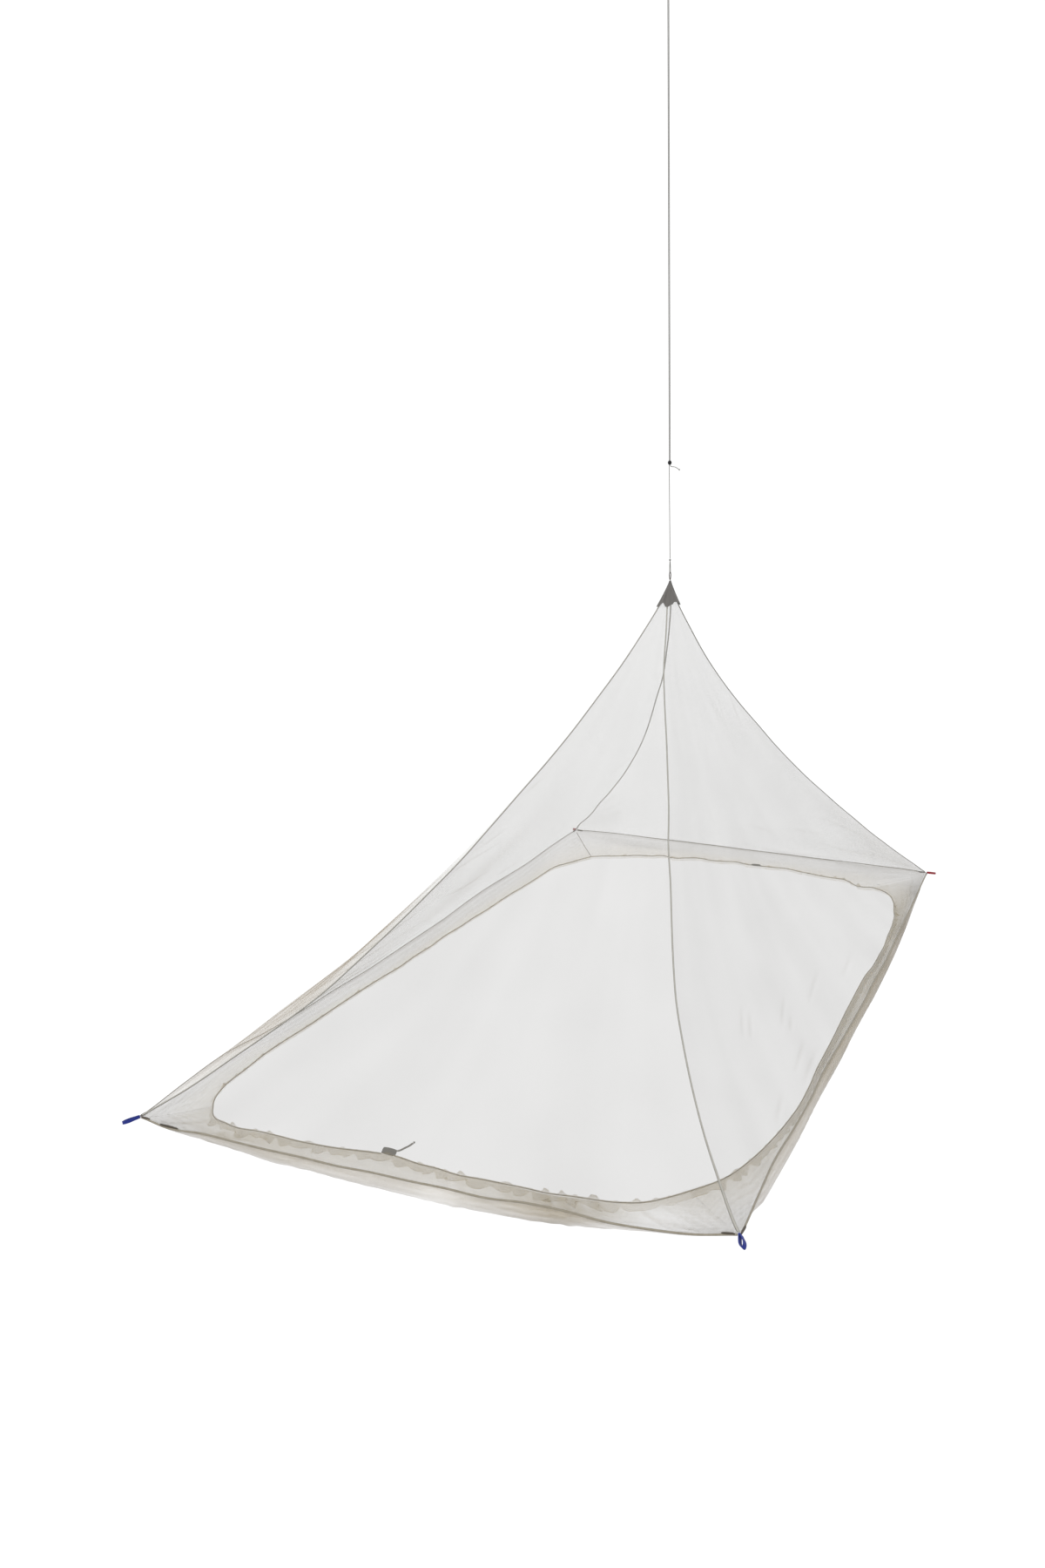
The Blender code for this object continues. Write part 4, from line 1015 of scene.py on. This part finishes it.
# %% Skirt shapes
DROOP = {
    "foot": (3, 5, 12, 15, 19, 19, 21, 24, 24, 25, 22, 24, 20, 12, 6, 5, 5),
    "right": (5, 17, 20, 17, 15, 19, 19, 17, 17, 20, 17, 17, 16, 14, 11, 9, 5),
    "head": (4, 5, 8, 10, 12, 12, 13, 12, 11, 12, 12, 10, 9, 8, 6, 5, 4),
    "left": (5, 6, 8, 10, 12, 14, 14, 13, 13, 14, 15, 14, 12, 10, 8, 6, 5),
}
SKIRT_SHAPE = {"foot": (3.2, 0.0, 0.6), "right": (3.3, 0.36, 0.25), "head": (2.0, 0.1, 0.45),
               "left": (2.0, 0.1, 0.30)}  # how far it droops, bulges out and is bunched
BUNCHES = {
    "foot": ((0.10, 0.05, 0.9), (0.20, 0.02, 0.6), (0.30, 0.02, 0.6), (0.43, 0.03, 0.4), (0.58, 0.02, 0.9),
             (0.78, 0.09, 1.1)),
    "right": ((0.05, 0.05, 0.9), (0.20, 0.06, 0.5), (0.88, 0.06, 0.7)),
    "head": ((0.10, 0.06, 0.5), (0.50, 0.2, 0.2)),
    "left": ((0.55, 0.15, 0.3), (0.95, 0.06, 0.7)),
}
CASING, SKIRT_STEP, SKIRT_ROWS = 0.0125, 0.0036, 44
CASING_ROUND, CASING_RUN, RIM_REACH = 0.0022, 0.012, 0.040
PLEAT, WIDE_PLEAT = 0.036, 0.061
PLEAT_RISE, PLEAT_SWAY, HEADING, SEAM_DROP = 0.0042, 0.0026, 0.0085, 0.0012


def pleat(metres, seed):
    """An uneven wave along the rim, with narrow crests and bunches of different widths."""
    warp = noise.noise(Vector((metres * 7.0, seed, 0)))
    wave = sin(metres * 2 * pi / PLEAT + warp * 7)
    wave += 0.6 * sin(metres * 2 * pi / WIDE_PLEAT + warp * 5 + seed)
    sharp = wave * (0.55 + 0.45 * abs(wave))
    return sharp * (0.35 + 0.9 * abs(noise.noise(Vector((metres * 4.0, seed + 7.3, 0)))))


def skirt_columns(side, seed):
    """For every step along the rim: seam point, rim point, outside direction, width and pleats."""
    line = rims[side]
    line_shares, length = shares_along(line), route_length(line)
    count = int(length / SKIRT_STEP)
    for c in range(count + 1):
        share = c / count
        rim = at_share(line, line_shares, share)
        run = at_share(line, line_shares, min(share + 0.004, 1))
        run = run - at_share(line, line_shares, max(share - 0.004, 0))
        seam = seam_seen(side, share) - Vector((0, 0, SEAM_DROP))
        free = min(1.0, share * 14, (1 - share) * 14)
        diagonal = (seam - rim).to_2d().to_3d().normalized()
        outside = (Vector((run.y, -run.x, 0.0)).normalized() * free + diagonal * (1 - free)).normalized()
        bunch = SKIRT_SHAPE[side][2]
        bunch += sum(more * exp(-((share - at) / spread) ** 2) for at, spread, more in BUNCHES[side])
        fade = min(1.0, share * 20, (1 - share) * 20) * bunch
        waves = pleat(share * length, seed) * fade, pleat(share * length + 0.012, seed + 3.1) * fade
        yield share, seam, rim, outside, share * length, waves, free


def curve_between(first, second, third, last, t):
    back = 1 - t
    return (first * back ** 3 + second * 3 * back * back * t + third * 3 * back * t * t + last * t ** 3)


def skirt_column(side, share, seam, rim, outside, waves, free):
    """The points down the skirt and round its casing, with the metres run and nearness to the rim."""
    across = (rim - seam).to_2d().to_3d()
    wide = across.length
    gain, bulge, _ = SKIRT_SHAPE[side]
    hang = table_value(DROOP[side], share) / 1000 * gain * free + 0.012 * (1 - free)
    down = Vector((0, 0, -hang))
    edge = rim + outside * CASING_ROUND
    second = seam + down + outside * hang * bulge * free + across * 0.06
    third = edge + down * 0.25 - across * 0.30
    column, run = [], 0.0
    for index in range(SKIRT_ROWS):
        t = index / (SKIRT_ROWS - 1)
        point = curve_between(seam, second, third, edge, t)
        left_over = (point - edge).length
        near_rim = exp(-(left_over / RIM_REACH) ** 1.3)
        hold = min(1.0, left_over / 0.010)
        point.z += waves[0] * PLEAT_RISE * near_rim * hold
        point += outside * waves[1] * PLEAT_SWAY * near_rim * hold
        run += (point - column[-1][0]).length if column else 0.0
        column.append((point, run, near_rim))
    heading = HEADING * min(1.0, max(0.0, waves[0] - 0.10))
    for turn, lift in ((60, 0.0), (120, 0.0), (180, 0.1), (240, 0.7), (300, 1.0)):
        angle = radians(turn)
        point = rim + outside * cos(angle) * CASING_ROUND
        point = point - Vector((0, 0, sin(angle) * 0.0019 - heading * lift))
        column.append((point, run + turn / 360 * CASING_RUN, 1.0))
    swing = radians(-66 + 26 * waves[1])
    reach = CASING * (0.95 + 0.46 * max(-1.4, min(1.2, waves[1])) + 0.12 * waves[0])
    forward = Vector((-outside.y, outside.x, 0.0))
    for part in (0.2, 0.4, 0.6, 0.8, 0.92, 1.0):
        point = rim + outside * (0.0024 + reach * part * cos(swing))
        point += forward * waves[0] * HEADING * part ** 1.5
        point.z += reach * part * sin(swing) + (heading + 0.0016) * (1 - part) ** 1.5
        column.append((point, run + CASING_RUN + CASING * part, 1.0))
    return column, wide


print("skirt shapes ready")

# %% Build the skirt
SKIRT_COVERS = {  # all over, in its lines, at the rim, in the hem, and more where it is narrow
    "foot": (0.31, 0.16, 0.10, 0.30, 0.0),
    "right": (0.31, 0.14, 0.20, 0.32, 0.19),
    "head": (0.17, 0.05, 0.08, 0.20, 0.04),
    "left": (0.20, 0.16, 0.12, 0.30, 0.02),
}
CASING_COVERS = (0.10, 0.10, 0.12, 0.30, 0.36)
LINE_PITCH = 0.015


def rows_first(values):
    """Values given column by column, as a grid of rows."""
    return np.array(values).swapaxes(0, 1)


for seed, side in enumerate(SIDES):
    plain, lined, rimmed, hemmed, narrowed = SKIRT_COVERS[side]
    grid, cloth, flow, cover, tint = [], [], [], [], []
    for share, seam, rim, outside, metres, waves, free in skirt_columns(side, seed * 13.7 + 2.0):
        column, wide = skirt_column(side, share, seam, rim, outside, waves, free)
        grid.append([point for point, _, _ in column])
        cloth.append([(metres, run) for _, run, _ in column])
        flow.append([(metres * 5, run * 50) for _, run, _ in column])
        narrow = exp(-(wide / 0.075) ** 2)
        hidden, browned = [], []
        for index, (point, run, near_rim) in enumerate(column):
            lines = sin(run * 2 * pi / LINE_PITCH + 4 * noise.noise(Vector((share * 3, run * 30, seed))))
            lines = lines ** 5 - 0.25 * lines
            value = plain + narrowed * narrow + lined * lines * (1 - near_rim)
            # The last term darkens the net in a narrow band just under the base seam: a painted shadow of the
            # seam.
            value += near_rim * rimmed * (0.55 + 0.45 * waves[0]) + 0.20 * exp(-(run / 0.006) ** 2)
            past_rim = index - SKIRT_ROWS
            if 0 <= past_rim < len(CASING_COVERS):
                value = CASING_COVERS[past_rim]
            elif past_rim >= len(CASING_COVERS):
                quiet = 1 - 0.45 * exp(-((share - 0.96) / 0.08) ** 2)
                value = (hemmed + (0.52 if index == len(column) - 1 else 0.0)) * quiet
            hidden.append(value)
            inside = min(1.0, max(0.0, (index / SKIRT_ROWS - 0.35) / 0.3))
            browned.append(near_rim * 0.3 + (narrow * 0.3 + 0.65) * inside)
        cover.append(hidden)
        tint.append(browned)
    shaped, covered = rows_first(grid), rows_first(cover)
    marks = in_shares(SKIRT_MARKS[side])
    crowd, deep = pressed(shaped[:SKIRT_ROWS], np.array((0.0, 0.0, 1.0)), marks)
    from_mitre = np.linspace(0, 1, shaped.shape[1])
    shaped[:SKIRT_ROWS, :, 2] -= deep * np.minimum(1.0, np.minimum(from_mitre, 1 - from_mitre) * 25)
    covered[:SKIRT_ROWS] += crowd
    numbers = {"cover": np.clip(covered, 0.04, 0.95), "tint": np.clip(rows_first(tint), 0, 1)}
    skirt = net_sheet(f"net_skirt_{side}", shaped, rows_first(cloth), rows_first(flow), numbers, skirting)
    settle(skirt, "netting", f"skirt_{side}")
    area = sheet_area(skirt)
    length = BASE_WIDTH if side in ("foot", "head") else BASE_LENGTH
    print(side, "skirt", round(area, 3), "m2", len(skirt.data.polygons), "faces")

# %% [markdown]
# ## Seam bindings
# A ridge seam is a flat strip over the joined edges of two walls. It is swept along its ridge with a
# shallow section: two welts beside a groove, which catch the light as a double line.

# %% Build the bindings
def ring_faces(rings, count):
    """Four-sided faces between rings of points that close on themselves."""
    faces = []
    for row in range(0, (rings - 1) * count, count):
        for step in range(count):
            after = (step + 1) % count
            faces.append((row + step, row + after, row + count + after, row + count + step))
    return faces


def face_outwards(piece):
    """Turns every face of a closed piece outwards."""
    bpy.ops.object.select_all(action="DESELECT")
    piece.select_set(True)
    bpy.context.view_layer.objects.active = piece
    bpy.ops.object.mode_set(mode="EDIT")
    bpy.ops.mesh.select_all(action="SELECT")
    bpy.ops.mesh.normals_make_consistent(inside=False)
    bpy.ops.object.mode_set(mode="OBJECT")


def strip_piece(name, path, sides, profile, finish, replaced, widths=None):
    """Sweeps a closed flat section along a path; profile rows are (across, over) in metres."""
    widths = widths or [1.0] * len(path)
    count, last = len(profile), len(path) - 1
    points, cloth = [], []
    runs = 0.0
    for index, (point, side) in enumerate(zip(path, sides)):
        run = (path[min(index + 1, last)] - path[max(index - 1, 0)]).normalized()
        over = run.cross(side).normalized()
        if index:
            runs += (point - path[index - 1]).length
        for a, b in profile:
            points.append(point + side * a * widths[index] + over * b)
            cloth.append((a, runs))
    faces = ring_faces(len(path), count)
    faces.append(tuple(range(count - 1, -1, -1)))
    faces.append(tuple(last * count + k for k in range(count)))
    mesh = cloth_mesh(name, points, faces, {"cloth": cloth}, finish)
    mesh.set_sharp_from_angle(angle=radians(60))
    piece = linked(name, mesh)
    face_outwards(piece)
    return settle(piece, "seam_tape", replaced)


def flat_profile(width, thick, groove):
    """Half the outline runs over two welts and a groove, and the other half is the flat underside."""
    welts = [(1, 0.0), (0.82, thick * 0.45), (0.5, thick / 2), (0.22, thick / 2 - groove)]
    under = [(-0.6, -thick * 0.4), (0.0, -thick * 0.3), (0.6, -thick * 0.4)]
    outline = welts + [(0.0, thick / 2 - groove * 0.6)] + [(-a, b) for a, b in reversed(welts)] + under
    return [(width / 2 * a, b) for a, b in outline]


RIDGE_WIDTH, BASE_SEAM_WIDTH, MITRE_WIDTH = 0.0050, 0.0040, 0.0024
for name in RIDGES:
    begin = 0.004 if name.startswith("foot") else 0.012
    shares = [begin + (1 - begin) * step for step in even(190)]
    path, sides = ridge_line(name, shares)
    widths = [0.74 + 0.40 * exp(-(share / 0.07) ** 2) for share in shares]
    strip_piece(f"binding_ridge_{name}", path, sides, flat_profile(RIDGE_WIDTH, 0.0022, 0.0005),
                seam_look, f"ridge_tape_{name}", widths)
for side in SIDES:
    path = [seam_seen(side, 0.004 + 0.992 * step) for step in even(200)]
    sides = []
    for index in range(len(path)):
        run = (path[min(index + 1, len(path) - 1)] - path[max(index - 1, 0)]).normalized()
        slope = Vector((0, 0, 1)) + inward(side)
        sides.append((slope - run * run.dot(slope)).normalized())
    strip_piece(f"binding_base_{side}", path, sides, flat_profile(BASE_SEAM_WIDTH, 0.0018, 0.0003),
                base_seam_look, f"base_tape_{side}")
for name in CORNERS:
    start = corner_point(name) - Vector((0, 0, 0.0042))
    end = rim_curve_point(name, radians(RIM_CORNERS[name][2]))
    run = (end - start).normalized()
    path = []
    for step in even(30):
        point = start + run * (0.012 + ((end - start).length - 0.015) * step)
        path.append(point - Vector((0, 0, 0.002 * sin(pi * step))))
    level = Vector((0, 0, 1)).cross(run).normalized()
    strip_piece(f"binding_skirt_{name}", path, [level] * len(path), flat_profile(MITRE_WIDTH, 0.0014, 0.0003),
                base_seam_look if name == "head_left" else mitre_look, f"mitre_tape_{name}")
print("bindings:", len(RIDGES) + len(SIDES) + len(CORNERS))

# %% [markdown]
# ## Small parts
# The webbing loops, the folded tabs and the stitched sleeves are modelled as by hand: a primitive is
# opened in edit mode, pushed into shape, and given its thickness by modifiers. Each kind is modelled
# once, along its own axes, and then turned into place.

# %% Helpers for small parts
def open_piece(name):
    """Names the primitive that was just added and opens it in edit mode."""
    piece = bpy.context.object
    piece.name = piece.data.name = name
    bpy.ops.object.mode_set(mode="EDIT")
    bpy.ops.mesh.select_mode(type="VERT")
    bpy.ops.mesh.select_all(action="SELECT")
    return piece


def pick(piece, test):
    """Selects the vertices that pass a test, and nothing else."""
    bpy.ops.mesh.select_all(action="DESELECT")
    bpy.ops.object.mode_set(mode="OBJECT")
    for vertex in piece.data.vertices:
        vertex.select = bool(test(vertex.co))
    bpy.ops.object.mode_set(mode="EDIT")


def pull(kind, value, soft=None, centre=(0, 0, 0)):
    """Moves or scales what is selected, and what lies near it too if soft is a distance."""
    near = dict(use_proportional_edit=True, proportional_edit_falloff="SMOOTH",
                proportional_size=soft) if soft else {}
    if kind == "move":
        bpy.ops.transform.translate(value=value, **near)
    else:
        bpy.ops.transform.resize(value=value, center_override=centre, **near)


def close_piece(piece, finish, *modifiers):
    """Leaves edit mode, applies modifiers, and lays the cloth map in metres by each face's direction."""
    bpy.ops.mesh.select_all(action="SELECT")
    bpy.ops.mesh.normals_make_consistent(inside=False)
    bpy.ops.object.mode_set(mode="OBJECT")
    for kind, settings in modifiers:
        modifier = piece.modifiers.new(kind.lower(), kind)
        for key, value in settings.items():
            setattr(modifier, key, value)
        bpy.ops.object.modifier_apply(modifier=modifier.name)
    mesh = piece.data
    layer = mesh.uv_layers.get("cloth") or mesh.uv_layers.new(name="cloth")
    for face in mesh.polygons:
        flat = max(range(3), key=lambda axis: abs(face.normal[axis]))
        for index in face.loop_indices:
            spot = mesh.vertices[mesh.loops[index].vertex_index].co
            layer.data[index].uv = [spot[axis] for axis in range(3) if axis != flat]
    mesh.shade_smooth()
    mesh.set_sharp_from_angle(angle=radians(50))
    mesh.materials.clear()
    mesh.materials.append(finish)
    return piece


def turned_copy(model, name, centre, run, over, up):
    """A copy of a modelled piece with its own mesh, laid along three directions."""
    mesh = model.data.copy()
    mesh.name = name
    mesh.transform(laid(centre, run, over, up))
    return linked(name, mesh)


def across_run(run):
    over = Vector((0, 0, 1)).cross(run).normalized()
    return run, over, run.cross(over)


ROUNDED = ("SUBSURF", dict(levels=1, render_levels=1))
print("small part helpers ready")

# %% [markdown]
# ### Webbing loops
# A loop is one short length of webbing, folded back on itself and stitched where its ends meet. It
# starts as a ring of points, is drawn out and pinched at its root, and then raised to the webbing's
# width. Solidify gives it its thickness and a bevel rounds its edges.

# %% Model a loop
def webbing_loop(name, length, half_wide, tape, thick, pinch, finish):
    bpy.ops.object.select_all(action="DESELECT")
    bpy.ops.mesh.primitive_circle_add(vertices=32, radius=1.0, fill_type="NOTHING")
    piece = open_piece(name)
    pull("scale", (length / 2 - thick / 2, half_wide - thick / 2, 1))
    pull("move", (length / 2, 0, 0))
    pick(piece, lambda co: co.x < length * 0.20)
    pull("scale", (1, pinch, 1), soft=length * 0.55)
    pick(piece, lambda co: co.x > length * 0.90)
    pull("scale", (1, 0.80, 1))
    bpy.ops.mesh.select_all(action="SELECT")
    bpy.ops.mesh.extrude_region_move(TRANSFORM_OT_translate={"value": (0, 0, tape)})
    bpy.ops.mesh.select_all(action="SELECT")
    pull("move", (0, 0, -tape / 2))
    pick(piece, lambda co: co.x > length * 0.6 and co.y > 0)
    pull("move", (0, thick * 0.3, -thick * 0.35), soft=length * 0.3)
    return close_piece(
        piece, finish, ("SOLIDIFY", dict(thickness=thick, offset=0.0)),
        ("BEVEL", dict(width=thick * 0.22, segments=2)), ROUNDED)


LOOP_ROOT = 0.0015
LOOP_LENGTH = 0.042
LOOPS = {  # bearing and droop in degrees, length in metres, roll in degrees, and width
    "foot_left": (33, 5, 0.037, 8, 0.78),
    "foot_right": (22, 6, 0.036, 40, 1.0),
    "head_right": (33, 13, 0.046, 0, 0.78),
    "head_left": (33, 8, 0.040, 0, 0.78),
}


def loop_direction(name):
    across, along, _ = CORNERS[name]
    bearing, droop = (radians(value) for value in LOOPS[name][:2])
    level = Vector((across * sin(bearing), along * cos(bearing), 0.0))
    return (level * cos(droop) - Vector((0, 0, sin(droop)))).normalized()


loop_model = webbing_loop("loop model", LOOP_LENGTH, 0.0052, 0.0082, 0.0018, 0.62, blue_look)
for name, (_, _, length, roll, wide) in LOOPS.items():
    run, over, up = across_run(loop_direction(name))
    turn = Matrix.Rotation(radians(roll), 3, run)
    loop = turned_copy(loop_model, f"loop_{name}", corner_point(name) - run * LOOP_ROOT,
                       run * length / LOOP_LENGTH, turn @ over, turn @ up * wide)
    loop.data.materials[0] = blue_look if name.startswith("foot") else red_look
    settle(loop, "blue_webbing" if name.startswith("foot") else "red_webbing", f"corner_loop_{name}")
bpy.data.objects.remove(loop_model)

hang_model = webbing_loop("hang loop model", LOOP_HIGH, 0.0031, 0.0034, 0.0018, 0.75, tab_look)
hang_loop = turned_copy(hang_model, "loop_hang", PEAK + Vector((0, 0, GAP)), Vector((0, 0, 1)),
                        Vector((1, 0, 0)), Vector((0, 1, 0)))
settle(hang_loop, "dark_tape", "hang_loop")
bpy.data.objects.remove(hang_model)
print("loops: 5, faces of one:", len(hang_loop.data.polygons))

# %% [markdown]
# ### Tabs and sleeves
# A tab is a scrap of tape folded in two over the seam, so it is thickest at its fold, pressed thin
# along its stitching and never quite straight. A sleeve is the same thing, wrapped round a cord.

# %% Model the tabs and sleeves
def folded_tape(name, size, pressed_to, skew, finish):
    bpy.ops.object.select_all(action="DESELECT")
    bpy.ops.mesh.primitive_cube_add(size=1)
    piece = open_piece(name)
    bpy.ops.mesh.subdivide(number_cuts=3)
    pull("scale", size)
    pick(piece, lambda co: abs(abs(co.x) - size[0] / 4) < 1e-5 and abs(co.z) < size[2] * 0.3)
    pull("scale", (1, pressed_to, 1))
    pick(piece, lambda co: co.z > size[2] * 0.45)
    pull("scale", (0.97, pressed_to, 1), centre=(0, 0, size[2] / 2))
    pick(piece, lambda co: abs(co.x) > size[0] * 0.45)
    pull("scale", (1, pressed_to, 0.88))
    pick(piece, lambda co: co.x > size[0] * 0.45)
    pull("move", (0, skew * 0.5, -skew), soft=size[0] * 0.7)
    return close_piece(piece, finish, ("BEVEL", dict(width=min(size) * 0.10, segments=1)), ROUNDED)


CORNER_TAB = (0.020, 0.0030, 0.0048)
TAB_STRETCH = {"tab_foot_right_right": 1.7, "tab_foot_right_foot": 1.15}


def seam_run(side, name):
    row = SIDES[side]
    near, far = (0.0, 1 / 48) if name == row["start"] else (1.0, 47 / 48)
    return (seam_point(side, far) - seam_point(side, near)).normalized()


tab_model = folded_tape("tab model", CORNER_TAB, 0.72, 0.0006, tab_look)
for side, row in SIDES.items():
    for name in (row["start"], row["end"]):
        run = seam_run(side, name)
        out = loop_direction(name).to_2d().normalized()
        along, cross = abs(run.to_2d().dot(out)), abs(run.to_2d().cross(out))
        stretch = TAB_STRETCH.get(f"tab_{name}_{side}", 1.0)
        reach_out = (LOOP_ROOT + GAP * 2 + CORNER_TAB[1] / 2 * cross) / along + CORNER_TAB[0] / 2 * stretch
        run, over, up = across_run(run)
        tab = turned_copy(tab_model, f"tab_{name}_{side}", corner_point(name) + run * reach_out,
                          run * stretch, over, up)
        settle(tab, "seam_tape", f"corner_tab_{name}_{side}")
bpy.data.objects.remove(tab_model)

SIDE_TAB, SIDE_TAB_START = (0.044, 0.0022, 0.0066), 0.047
run = seam_run("foot", "foot_left")
side_place = corner_point("foot_left") + run * (SIDE_TAB_START + SIDE_TAB[0] / 2)
side_place += run * 0.008 - Vector((0, 0, 0.004)) - inward("foot") * (0.0020 + GAP + SIDE_TAB[1] / 2)
side_model = folded_tape("side tab model", SIDE_TAB, 0.70, 0.0010, tab_look)
settle(turned_copy(side_model, "tab_side", side_place, *across_run(run)), "dark_tape", "side_tab")
bpy.data.objects.remove(side_model)

sleeve_model = folded_tape("sleeve model", (SLEEVE[0], SLEEVE[2], SLEEVE[1]), 0.70, 0.0008, sleeve_look)
for side in ("foot", "head"):
    centre, across = sleeve_place(side)
    run = Vector((1, 0, 0))
    sleeve = turned_copy(sleeve_model, f"sleeve_{side}", centre, run, -run.cross(across), across)
    settle(sleeve, "dark_tape", f"cord_sleeve_{side}")
bpy.data.objects.remove(sleeve_model)
print("tabs:", 2 * len(SIDES) + 1, "sleeves:", len(SLEEVE_X))

# %% [markdown]
# ### Cord lock
# The lock is a small black plastic ball with a sprung button. A ball is flattened above and below
# where the cord passes, and drawn in a little round its middle.

# %% Model the cord lock
bpy.ops.object.select_all(action="DESELECT")
bpy.ops.mesh.primitive_uv_sphere_add(segments=24, ring_count=16, radius=0.0056)
lock = open_piece("lock")
for end in (1, -1):
    pick(lock, lambda co: co.z * end > 0.0042)
    pull("scale", (1.25, 1.25, 0.0), centre=(0, 0, 0.0044 * end))
    bpy.ops.mesh.extrude_region_move(TRANSFORM_OT_translate={"value": (0, 0, 0.0009 * end)})
    pull("scale", (0.80, 0.80, 1), centre=(0, 0, 0.005 * end))
pick(lock, lambda co: abs(co.z) < 0.00035)
pull("scale", (0.94, 0.94, 1))
close_piece(lock, lock_look, ("BEVEL", dict(width=0.0002, segments=1, limit_method="ANGLE")))
lock.data.transform(Matrix.Translation((0, 0, LOCK)))
settle(lock, "black_plastic", "cord_lock")
print("lock faces:", len(lock.data.polygons))

# %% [markdown]
# ### Cap
# The cap is four little gores of closely woven cloth, sewn to each other over the ridge seams. Each
# gore arches up between two seams, and its lower edge is turned under. It is made as rings of points
# that close on themselves, from the turned edge inside up to the tip.

# %% Make the cap
CAP_LOW, CAP_ARCH, CAP_BULGE, CAP_TIP = 0.9130, 0.0105, 0.0036, 0.0034
CAP_STEPS, CAP_CLIMB = 14, 18
SEAM_REACH, SEAM_HALF = 0.0046, 0.0052


def cap_corner(name, height, climb, turn, lift):
    share = ridge_share(name, height)
    point = ridge_seen(name, share).lerp(ridge_point(name, share), climb)
    out = Vector((*(ridge_point(name, 0.9) - PEAK).to_2d().normalized(), 0.0))
    over = Vector((-out.y, out.x, 0.0))
    small = 1 - climb ** 3
    reach_out = (SEAM_REACH + lift) * small + CAP_TIP * (1 - small)
    return point + out * reach_out + over * turn * SEAM_HALF * small


def cap_ring(climb, lift):
    """One closed ring of the cap, with the cloth map's two values for every point."""
    ring, cloth = [], []
    names = list(CORNERS)
    for gore, (start, end) in enumerate(zip(names, names[1:] + names[:1])):
        for step in range(CAP_STEPS):
            share = step / (CAP_STEPS - 1)
            low = CAP_LOW + CAP_ARCH * sin(pi * share) ** 0.8
            low += 0.0016 * noise.noise(Vector((share * 7, gore * 5.1, 0)))
            height = low + (NET_HEIGHT - 0.0005 - low) * climb
            near = cap_corner(start, height, climb, 1, lift)
            far = cap_corner(end, height, climb, -1, lift)
            over = (far - near).normalized()
            crease = noise.noise(Vector((share * 4.5 + climb, gore * 3.7, climb * 1.6)))
            swell = (CAP_BULGE + lift * 0.3) * sin(pi * share) + 0.0030 * crease * sin(pi * share) ** 0.6
            point = near.lerp(far, share)
            point += Vector((over.y, -over.x, 0.0)) * swell * (1 - climb ** 2)
            ring.append(point)
            cloth.append((gore * 0.06 + share * 0.055, height))
    return ring, cloth


levels = [(0.16, -0.0014), (0.06, -0.0014), (0.01, -0.0008), (0.0, 0.0)]
levels += [(((step + 1) / CAP_CLIMB) ** 1.15, 0.0) for step in range(CAP_CLIMB)]
rings = [cap_ring(climb, lift) for climb, lift in levels]
count = len(rings[0][0])
points = [point for ring, _ in rings for point in ring]
faces = ring_faces(len(rings), count) + [tuple(range(len(points) - count, len(points)))]
cap_mesh = cloth_mesh("cap cloth", points, faces, {"cloth": [spot for _, cloth in rings for spot in cloth]},
                      cap_look)
cap_mesh.set_sharp_from_angle(angle=radians(55))
cap = linked("cap_cloth", cap_mesh)
face_outwards(cap)
settle(cap, "grey_cloth", "cap")
area = sheet_area(cap)
print("cap", round(area * 1e4, 1), "cm2 of cloth")
